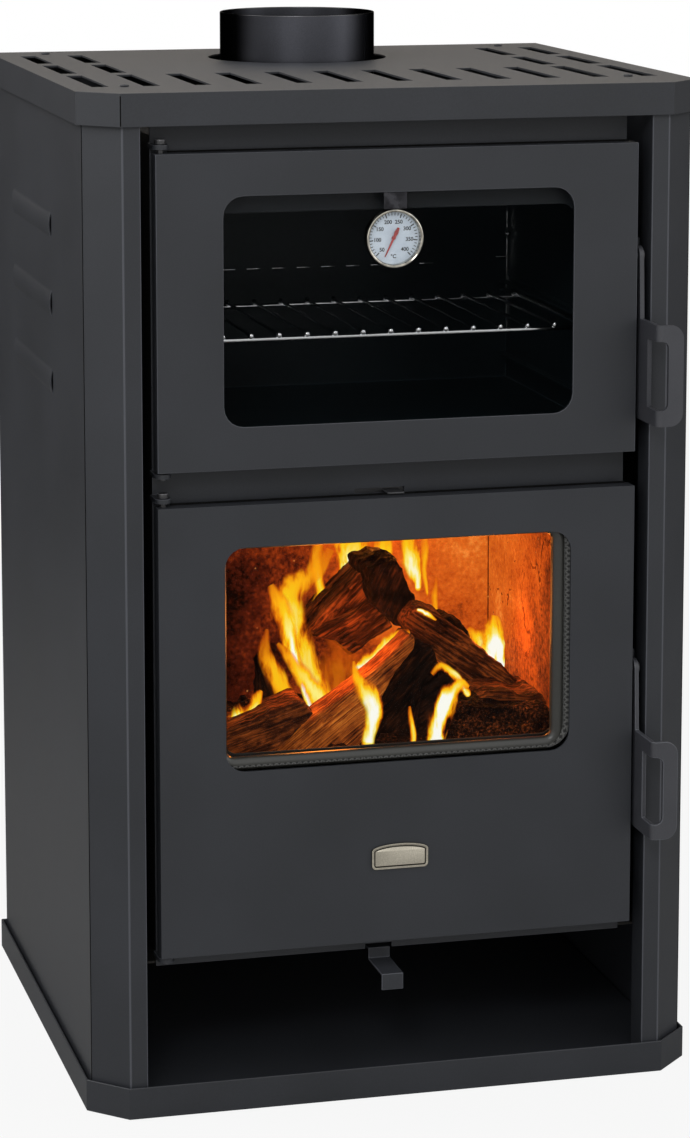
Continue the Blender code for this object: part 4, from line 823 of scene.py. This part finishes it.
def makeWood(name, look):
    # Firewood: dry fibres run along the log, kept in its own grain attribute, and the fire lights them
    material, tree, shader = startMaterial(name, {"Roughness": 0.9, "Specular IOR Level": 0.15,
                                                  "Emission Strength": woodPattern["glow"]})
    place = addNode(tree, "Attribute", {"attribute_name": "grain"}).outputs["Vector"]
    fibre = addNode(tree, "Mapping", values={"Scale": (look["stretch"], 1, 1)}, links={"Vector": place})
    grain = addNode(tree, "TexNoise", values={"Scale": perMm(look["grainMm"]), "Detail": 5, "Roughness": 0.6},
                    links={"Vector": fibre})
    patch = addNode(tree, "TexNoise", values={"Scale": perMm(woodPattern["patchMm"]), "Detail": 4},
                    links={"Vector": place})
    both = addNode(tree, "Mix", {"data_type": "FLOAT"}, {"Factor": woodPattern["patchShare"]},
                   {"A": grain, "B": patch})
    colour = addNode(tree, "ValToRGB", links={"Fac": both}, stops=look["colours"])
    bump = addNode(tree, "Bump", values={"Distance": woodPattern["fibreHeightMm"] / 1000}, links={"Height": grain})
    feed(shader, {"Base Color": colour, "Emission Color": colour, "Normal": bump})
    return material


woodNames = {"bark": "logBark", "split": "logSplitFace", "charred": "logCharred", "ember": "emberBlack"}
woods = {wood: makeWood(name, logLook[wood]) for wood, name in woodNames.items()}
crumple, fineCrumple = (bpy.data.textures.new(name, "CLOUDS") for name in ("crumple", "fineCrumple"))
crumple.noise_scale, fineCrumple.noise_scale = 0.03, 0.008    # metres

# in millimetres: how deep each log's front lies, its outline there as x and z, and how thick it is; then which way
# its fibres run, and its wood
logs = {
    "log_upper": (0, ((-25, 369), (-22, 375), (-3, 396), (16, 414), (36, 433), (48, 427), (50, 403), (42, 397),
        (24, 383), (4, 373), (-14, 368)), 55, 46, "bark"),
    "log_upper_face": (-22, ((-22, 373), (-4, 382), (18, 392), (36, 403), (47, 392), (58, 379), (52, 374),
        (32, 363), (16, 351), (10, 357), (0, 367)), 30, 30, "bark"),
    "log_end": (-30, ((29, 440), (38, 442), (48, 447), (59, 445), (65, 434), (72, 420), (78, 400), (89, 393),
        (81, 387), (70, 381), (56, 382), (45, 393), (35, 404), (31, 420)), 75, 64, "charred"),
    "plank_right": (-55, ((58, 390), (71, 407), (94, 396), (120, 374), (143, 353), (163, 334), (176, 322),
        (183, 318), (183, 311), (174, 309), (165, 316), (143, 319), (131, 321), (120, 331), (106, 341), (92, 352),
        (68, 370)), 42, -35, "bark"),
    "chunk": (-40, ((96, 386), (108, 391), (118, 383), (129, 369), (124, 366), (110, 377)), 45, -35, "charred"),
    "plank_long": (-112, ((-93, 286), (-47, 319), (-8, 345), (19, 366), (48, 393), (53, 389), (52, 379),
        (35, 356), (22, 336), (14, 306), (-2, 286), (-51, 285)), 30, 37, "split"),
    "log_centre": (-85, ((52, 371), (61, 379), (76, 371), (86, 355), (80, 345), (75, 331), (67, 307), (63, 286),
        (46, 284), (14, 284), (14, 303), (28, 329)), 60, 48, "charred"),
    "log_arch": (-96, ((68, 336), (87, 349), (99, 341), (106, 328), (88, 314), (80, 295), (71, 284), (57, 284),
        (59, 310)), 50, 35, "charred"),
    "log_left": (-132, ((-150, 314), (-138, 317), (-104, 328), (-86, 334), (-60, 341), (-47, 328), (-67, 310),
        (-88, 293), (-150, 290)), 50, 17, "bark"),
    "ember_block": (-136, ((77, 316), (91, 324), (116, 327), (138, 323), (178, 320), (182, 293), (99, 292),
        (69, 290)), 50, 0, "ember"),
    "log_right_low": (-112, ((102, 321), (124, 331), (146, 331), (162, 324), (178, 327), (183, 317), (183, 305),
        (146, 304), (106, 305), (86, 308)), 80, -6, "bark"),
    "log_standing": (-10, ((-72, 352), (-67, 355), (-55, 327), (-46, 296), (-69, 294), (-73, 325)), 22, -75,
        "charred"),
}
bodyLow = Vector((-0.184, -0.213, 0.283))
bodyHigh = Vector((0.184, 0.089, 0.470))
logShape = {"rounding": 0.0025, "voxel": 0.0017, "fineShare": 0.5}


def keepInside(point):
    # Nothing leaves the firebox
    for axis in range(3):
        point[axis] = min(max(point[axis], bodyLow[axis]), bodyHigh[axis])


def roughen(piece, strength, fineShare):
    # Coarse and fine bumps all over
    modify(piece, "DISPLACE", {"texture": crumple, "strength": strength, "texture_coords": "LOCAL"})
    modify(piece, "DISPLACE", {"texture": fineCrumple, "strength": strength * fineShare, "texture_coords": "LOCAL"})


def makeLog(name, depth, outline, thickness, angle, wood):
    # A disc takes the log's outline, is drawn out to its thickness and is roughened all over
    bpy.ops.object.select_all(action="DESELECT")
    bpy.ops.mesh.primitive_circle_add(vertices=len(outline), fill_type="NGON", rotation=facing)
    log = bpy.context.object
    bpy.ops.object.transform_apply(location=True, rotation=True, scale=True)
    for corner, (x, z) in zip(log.data.vertices, outline):
        corner.co = (x / 1000, depth / 1000, z / 1000)
    drawOut(log, thickness / 1000)
    roundEdges(log, logShape["rounding"])
    modify(log, "REMESH", {"mode": "VOXEL", "voxel_size": logShape["voxel"]})
    roughen(log, logLook[wood]["rough"], logShape["fineShare"])
    turn = math.radians(angle)
    along = Vector((math.cos(turn), 0, math.sin(turn)))
    across = Vector((-math.sin(turn), 0, math.cos(turn)))
    shift = Vector((random.random(), random.random(), random.random()))
    grain = log.data.attributes.new("grain", "FLOAT_VECTOR", "POINT")
    for index, corner in enumerate(log.data.vertices):
        keepInside(corner.co)
        grain.data[index].vector = Vector((corner.co.dot(along), corner.co.dot(across), corner.co.y)) + shift
    smoothUpTo(log, 35)
    return dress(log, name, woods[wood], "stove_body")


random.seed(4)
for name, (depth, outline, thickness, angle, wood) in logs.items():
    makeLog(name, depth, outline, thickness, angle, wood)
print("logs laid")

# Ember bed: a low heap of ash and glowing crumbs
bed = {"x": (-0.182, 0.182), "y": (-0.190, 0.088), "z": 0.288, "height": 0.020, "fineShare": 0.7, "cuts": 90}
bpy.ops.object.select_all(action="DESELECT")
bpy.ops.mesh.primitive_grid_add(x_subdivisions=bed["cuts"], y_subdivisions=bed["cuts"], size=1)
heap = bpy.context.object
heap.scale = (bed["x"][1] - bed["x"][0], bed["y"][1] - bed["y"][0], 1)
heap.location = (sum(bed["x"]) / 2, sum(bed["y"]) / 2, bed["z"])
bpy.ops.object.transform_apply(location=True, rotation=True, scale=True)
roughen(heap, bed["height"], bed["fineShare"])
grain = heap.data.attributes.new("grain", "FLOAT_VECTOR", "POINT")
for index, corner in enumerate(heap.data.vertices):
    grain.data[index].vector = corner.co
activate(heap)
bpy.ops.object.shade_smooth()
dress(heap, "ember_bed", woods["ember"], "stove_body")

# Flame: burning gas, clear at its edge and white-hot in the middle, on ribbons that the UV map colours
flameLook = {
    "stops": ((0.0, "#A82C02"), (1.0, "#FFFFF4"), (0.30, "#E2660A"), (0.52, "#FFA010"), (0.72, "#FFD01C"),
              (0.88, "#FFF080")),
    "flickerMm": 14, "flickerRise": 0.3, "strength": 1.2, "wobbleSpan": (0.3, 0.7), "wobble": (-0.5, 0.5),
    "tipSpan": (0.55, 1.0), "tipHeat": (1.0, 0.45), "footSpan": (0.0, 0.10), "edgeSpan": (1.0, 0.6),
    "veilSpan": (0.02, 0.60), "veil": (0.0, 0.97),
}
flame, tree, shader = startMaterial("flameGas", {
    "Base Color": "#000000", "Roughness": 1.0, "Specular IOR Level": 0.0, "Emission Strength": flameLook["strength"],
})
place = addNode(tree, "UVMap", {"uv_map": "UVMap"})
spot = addNode(tree, "TexCoord").outputs["Object"]
fire = addNode(tree, "Attribute", {"attribute_name": "fire"})
stretch = addNode(tree, "Mapping", values={"Scale": (1, 1, flameLook["flickerRise"])}, links={"Vector": spot})
flicker = addNode(tree, "TexNoise", values={"Scale": perMm(flameLook["flickerMm"]), "Detail": 4, "Roughness": 0.55,
                                            "Distortion": 0.4}, links={"Vector": stretch})
axes = addNode(tree, "SeparateXYZ", links={"Vector": place})
across = addNode(tree, "MapRange", values=spans(target=(-1, 1)), links={"Value": axes.outputs["X"]})
wobble = addNode(tree, "MapRange", values=spans(flameLook["wobbleSpan"], flameLook["wobble"]),
                 links={"Value": flicker})
bentAcross = addNode(tree, "Math", {"operation": "ADD"}, links={0: across, 1: wobble})
square = addNode(tree, "Math", {"operation": "MULTIPLY"}, links={0: bentAcross, 1: bentAcross})
core = addNode(tree, "Math", {"operation": "MULTIPLY_ADD"}, {1: -1.0, 2: 1.0}, {0: square})
tip = addNode(tree, "MapRange", values=spans(flameLook["tipSpan"], flameLook["tipHeat"]),
              links={"Value": axes.outputs["Y"]})
foot = addNode(tree, "MapRange", values=spans(flameLook["footSpan"]), links={"Value": axes.outputs["Y"]})
width = addNode(tree, "Math", {"operation": "ABSOLUTE"}, links={0: across})
edge = addNode(tree, "MapRange", values=spans(flameLook["edgeSpan"]), links={"Value": width})
density = core
for part in (tip, foot, fire.outputs["Fac"]):
    density = addNode(tree, "Math", {"operation": "MULTIPLY"}, links={0: density, 1: part})
colour = addNode(tree, "ValToRGB", links={"Fac": density}, stops=flameLook["stops"])
veil = addNode(tree, "MapRange", values=spans(flameLook["veilSpan"], flameLook["veil"]), links={"Value": density})
clear = addNode(tree, "Math", {"operation": "MULTIPLY"}, links={0: veil, 1: edge})
feed(shader, {"Emission Color": colour, "Alpha": clear})

# depth and heat, then x, z and half width along each flame from its foot to its tip; lengths in millimetres
flames = {
    "flame_left": (-30, 0.80, ((-11, 295, 6), (-13, 305, 8), (-22, 325, 10.5), (-32, 347, 12.5), (-42, 369, 14.5),
        (-48, 392, 14.5), (-53, 412, 15), (-46, 426, 12.5), (-29, 435, 8), (-19, 446, 8.5), (-11, 462, 8))),
    "flame_left_edge": (-36, 1.00, ((-27, 294, 1.6), (-29, 304, 2.6), (-34, 326, 3.4), (-40, 351, 4.2),
        (-47, 375, 5.5), (-54, 396, 8), (-60, 413, 8.5), (-68, 430, 3))),
    "flame_fork": (-60, 0.88, ((-16, 300, 4), (-20, 308, 6), (-25, 320, 8.5), (-33, 334, 8.5), (-44, 350, 7),
        (-56, 366, 4.8), (-67, 379, 2))),
    "flame_thin": (-20, 0.66, ((-41, 296, 5), (-48, 313, 7.5), (-55, 330, 8), (-64, 348, 7.5), (-70, 364, 6),
        (-68, 384, 1.6))),
    "flame_low_left": (-100, 1.10, ((-128, 302, 4), (-121, 308, 8.5), (-113, 316, 10.5), (-104, 326, 10),
        (-98, 335, 7), (-92, 345, 1.8))),
    "flame_top": (60, 1.10, ((36, 398, 2), (35, 410, 7.5), (35, 424, 14), (33, 440, 18.5), (33, 462, 19))),
    "flame_top_middle": (62, 0.85, ((69, 412, 3), (67, 424, 9), (67, 440, 11), (67, 460, 9))),
    "flame_top_right": (60, 0.95, ((105, 392, 1.7), (102, 408, 5.5), (98, 424, 8.5), (95, 441, 8), (96, 460, 7))),
    "flame_top_wisp": (58, 0.60, ((113, 386, 1.4), (110, 412, 3.2), (110, 438, 4), (109, 460, 3.5))),
    "flame_far_wisp": (64, 0.55, ((124, 360, 1.4), (123, 378, 3.4), (122, 392, 3.4), (124, 406, 1.4))),
    "flame_top_left": (45, 0.75, ((-6, 379, 2.4), (-2, 388, 5.2), (2, 400, 5), (-1, 416, 4.8), (-4, 434, 7),
        (-1, 450, 6.5), (2, 468, 4))),
    # painted firelight: this glowing ribbon stands for the lit upper edge of a log
    "log_edge_firelight": (-52, 0.95, ((8, 344, 3), (23, 356, 6), (39, 367, 6), (53, 377, 5.5), (66, 382, 3))),
    "flame_haze": (-15, 0.36, ((-4, 304, 10), (1, 322, 17), (5, 340, 18), (5, 358, 15), (1, 380, 6))),
    "flame_front": (-165, 1.00, ((-7, 298, 4.6), (-6, 312, 5), (-2, 326, 6.2), (1, 338, 8.5), (-3, 350, 9.5),
        (-11, 359, 7.5), (-17, 370, 4.2), (-20, 384, 1.4))),
    "flame_hook": (-158, 1.12, ((56, 290, 6), (59, 302, 7.5), (63, 318, 8.5), (68, 334, 9.8), (74, 347, 9.2),
        (84, 354, 6), (92, 351, 1.8))),
    "flame_arch": (-100, 0.90, ((110, 325, 1.4), (107, 332, 3.6), (99, 343, 3.6), (91, 351, 3.2), (81, 357, 3.8),
        (73, 350, 2.4))),
    "flame_gap": (-62, 1.00, ((68, 404, 1), (74, 402, 2.4), (81, 398, 2.4), (88, 393, 1))),
    "flame_right": (30, 1.15, ((176, 302, 6), (176, 322, 10), (172, 340, 12), (171, 356, 10.5), (174, 372, 4))),
    "flame_right_low": (35, 0.85, ((168, 320, 5), (162, 336, 9.5), (155, 350, 9), (147, 359, 3.4))),
    "flame_small": (-150, 0.80, ((39, 292, 3), (40, 306, 3.6), (38, 320, 3), (37, 334, 1.2))),
}
ribbonShape = {"columns": 8, "rows": 40, "widen": 1.4, "curl": 0.35}


def makeFlame(name, depth, fireHeat, spine):
    # A ribbon along a smooth line through the spine's points, curled towards the front
    bpy.ops.object.select_all(action="DESELECT")
    bpy.ops.mesh.primitive_grid_add(x_subdivisions=ribbonShape["columns"], y_subdivisions=ribbonShape["rows"],
                                    size=1, calc_uvs=True)
    ribbon = bpy.context.object
    points = [Vector((x / 1000, depth / 1000, z / 1000)) for x, z, half in spine]
    halves = [half / 1000 for x, z, half in spine]
    last = len(spine) - 1
    for corner in ribbon.data.vertices:
        share = (corner.co.y + 0.5) * last
        index = min(int(share), last - 1)
        between = share - index
        before, after = points[max(index - 1, 0)], points[min(index + 2, last)]
        a, b = points[index], points[index + 1]
        leaving, arriving = (b - before) / 2, (after - a) / 2
        squared, cubed = between ** 2, between ** 3
        middle = ((2 * cubed - 3 * squared + 1) * a + (cubed - 2 * squared + between) * leaving
                  + (3 * squared - 2 * cubed) * b + (cubed - squared) * arriving)
        half = ribbonShape["widen"] * (halves[index] * (1 - between) + halves[index + 1] * between)
        tangent = (leaving * (1 - between) + arriving * between).normalized()
        side = Vector((tangent.z, 0, -tangent.x))
        offset = corner.co.x * 2
        curl = ribbonShape["curl"] * half * (1 - offset * offset)
        corner.co = middle + side * offset * half + Vector((0, -curl, 0))
        keepInside(corner.co)
    level = ribbon.data.attributes.new("fire", "FLOAT", "POINT")
    for item in level.data:
        item.value = fireHeat
    activate(ribbon)
    bpy.ops.object.shade_smooth()
    return dress(ribbon, name, flame, "stove_body")


for name, (depth, fireHeat, spine) in flames.items():
    makeFlame(name, depth, fireHeat, spine)
print("flames lit")


# Light, floor and camera
light = {
    "worldDiffuse": 0.88, "worldLeftRight": (1.22, 0.92),
    "lamps": {    # place, aim, width, height and watts; the strip evens out the left side
        "key": ((-1.3, -3.3, 2.5), (0, 0, 0.5), 0.9, 0.9, 26), "fill": ((2.6, -1.6, 1.8), (0, 0, 0.5), 2.0, 2.0, 10),
        "strip": ((-1.5, 0.1, 1.6), (-0.28, 0, 0.95), 0.5, 1.0, 15),
    },
    "firePlaces": ((-0.030, -0.100, 0.400), (0.070, 0.050, 0.450), (0.140, -0.030, 0.360)),
    "fireWatts": 1.0, "fireSize": 0.03, "fireColour": "#FF8A30",
    "floor": "#A4A4A3", "floorShare": 0.90, "floorSize": 14, "floorZ": -0.0005,
    "screenRadius": 2.2, "screenHeight": 2.6, "screenFrontY": -0.1,
    "screenShades": ((0.0, "#4C4C4C"), (1.0, "#F6ECDE"), (0.36, "#545454"), (0.46, "#D0C8BE")),
}
world = bpy.data.worlds.new("studio")
bpy.context.scene.world = world
world.use_nodes = True
tree = world.node_tree
background = tree.nodes["Background"]
background.inputs["Color"].default_value = (1, 1, 1, 1)
ray = addNode(tree, "LightPath")
direction = addNode(tree, "TexCoord")
axes = addNode(tree, "SeparateXYZ", links={"Vector": direction.outputs["Generated"]})
sideLevel = addNode(tree, "MapRange", values=spans((-1, 1), light["worldLeftRight"]),
                    links={"Value": axes.outputs["X"]})
soft = addNode(tree, "Math", {"operation": "MULTIPLY"}, {1: light["worldDiffuse"]}, {0: sideLevel})
seen = ray.outputs["Is Camera Ray"]
for kind in ("Transmission", "Glossy"):
    seen = addNode(tree, "Math", {"operation": "MAXIMUM"}, links={0: seen, 1: ray.outputs["Is %s Ray" % kind]})
level = addNode(tree, "Mix", {"data_type": "FLOAT"}, {"B": 1.0}, {"Factor": seen, "A": soft})
feed(background, {"Strength": level})


def addLamp(name, kind, place, settings):
    # Returns the object that holds the lamp, so that it can be aimed
    lamp = bpy.data.lights.new(name, kind)
    for key, value in settings.items():
        setattr(lamp, key, value)
    lampObject = bpy.data.objects.new(name, lamp)
    bpy.context.collection.objects.link(lampObject)
    lampObject.location = place
    return lampObject


for name, (place, aim, width, height, watts) in light["lamps"].items():
    lamp = addLamp(name, "AREA", place, {"shape": "DISK" if width == height else "RECTANGLE", "size": width,
                                         "size_y": height, "energy": watts})
    lamp.rotation_euler = (Vector(aim) - Vector(place)).to_track_quat("-Z", "Y").to_euler()
for index, place in enumerate(light["firePlaces"]):
    addLamp("fire_light_%d" % index, "POINT", place, {
        "energy": light["fireWatts"], "color": linear(light["fireColour"])[:3], "shadow_soft_size": light["fireSize"],
    })

bpy.ops.object.select_all(action="DESELECT")
bpy.ops.mesh.primitive_plane_add(size=light["floorSize"], location=(0, 0, light["floorZ"]))
floor = bpy.context.object
floor.name = "studio_floor"
floorPaint, tree, shader = startMaterial("floorPale", {"Base Color": light["floor"], "Roughness": 0.9,
                                                      "Specular IOR Level": 0.0})
ray = addNode(tree, "LightPath")
plain = addNode(tree, "Emission", values={"Color": (1, 1, 1, 1), "Strength": 1.0})
share = addNode(tree, "Math", {"operation": "MULTIPLY"}, {1: light["floorShare"]}, {0: ray.outputs["Is Camera Ray"]})
mixed = addNode(tree, "MixShader", links={0: share, 1: shader, 2: plain})
feed(tree.nodes["Material Output"], {"Surface": mixed})
floor.data.materials.append(floorPaint)

# A studio screen round the back half, dark below and pale above, out of the camera's sight, which keeps the sides
# from glaring
bpy.ops.object.select_all(action="DESELECT")
bpy.ops.mesh.primitive_cylinder_add(vertices=64, radius=light["screenRadius"], depth=light["screenHeight"],
                                    end_fill_type="NOTHING", location=(0, 0, light["screenHeight"] / 2))
screen = bpy.context.object
screen.name = "studio_screen"
bpy.ops.object.transform_apply(location=True, rotation=True, scale=True)
editAll(screen)
bpy.ops.mesh.bisect(plane_co=(0, light["screenFrontY"], 0), plane_no=(0, 1, 0), clear_inner=True)
bpy.ops.object.mode_set(mode="OBJECT")
screenCloth, tree, shader = startMaterial("screenCloth", {"Roughness": 1.0, "Specular IOR Level": 0.0})
place = addNode(tree, "TexCoord").outputs["Object"]
axes = addNode(tree, "SeparateXYZ", links={"Vector": place})
rise = addNode(tree, "MapRange", values=spans((0, light["screenHeight"])), links={"Value": axes.outputs["Z"]})
shade = addNode(tree, "ValToRGB", links={"Fac": rise}, stops=light["screenShades"])
feed(shader, {"Base Color": shade})
screen.data.materials.append(screenCloth)
screen.visible_camera = False

view = {"place": (-0.8293, -3.2608, 1.1689), "yaw": 14.507, "down": 8.688, "lens": 113.39, "sensor": 36,
        "shiftY": -0.2}
cameraData = bpy.data.cameras.new("camera")
cameraData.lens = view["lens"]
cameraData.sensor_width = view["sensor"]
cameraData.shift_y = view["shiftY"]
camera = bpy.data.objects.new("camera", cameraData)
bpy.context.collection.objects.link(camera)
camera.location = view["place"]
camera.rotation_euler = (math.radians(90 - view["down"]), 0, math.radians(-view["yaw"]))
bpy.context.scene.camera = camera
bpy.context.scene.view_settings.view_transform = "Standard"
print("stage set")
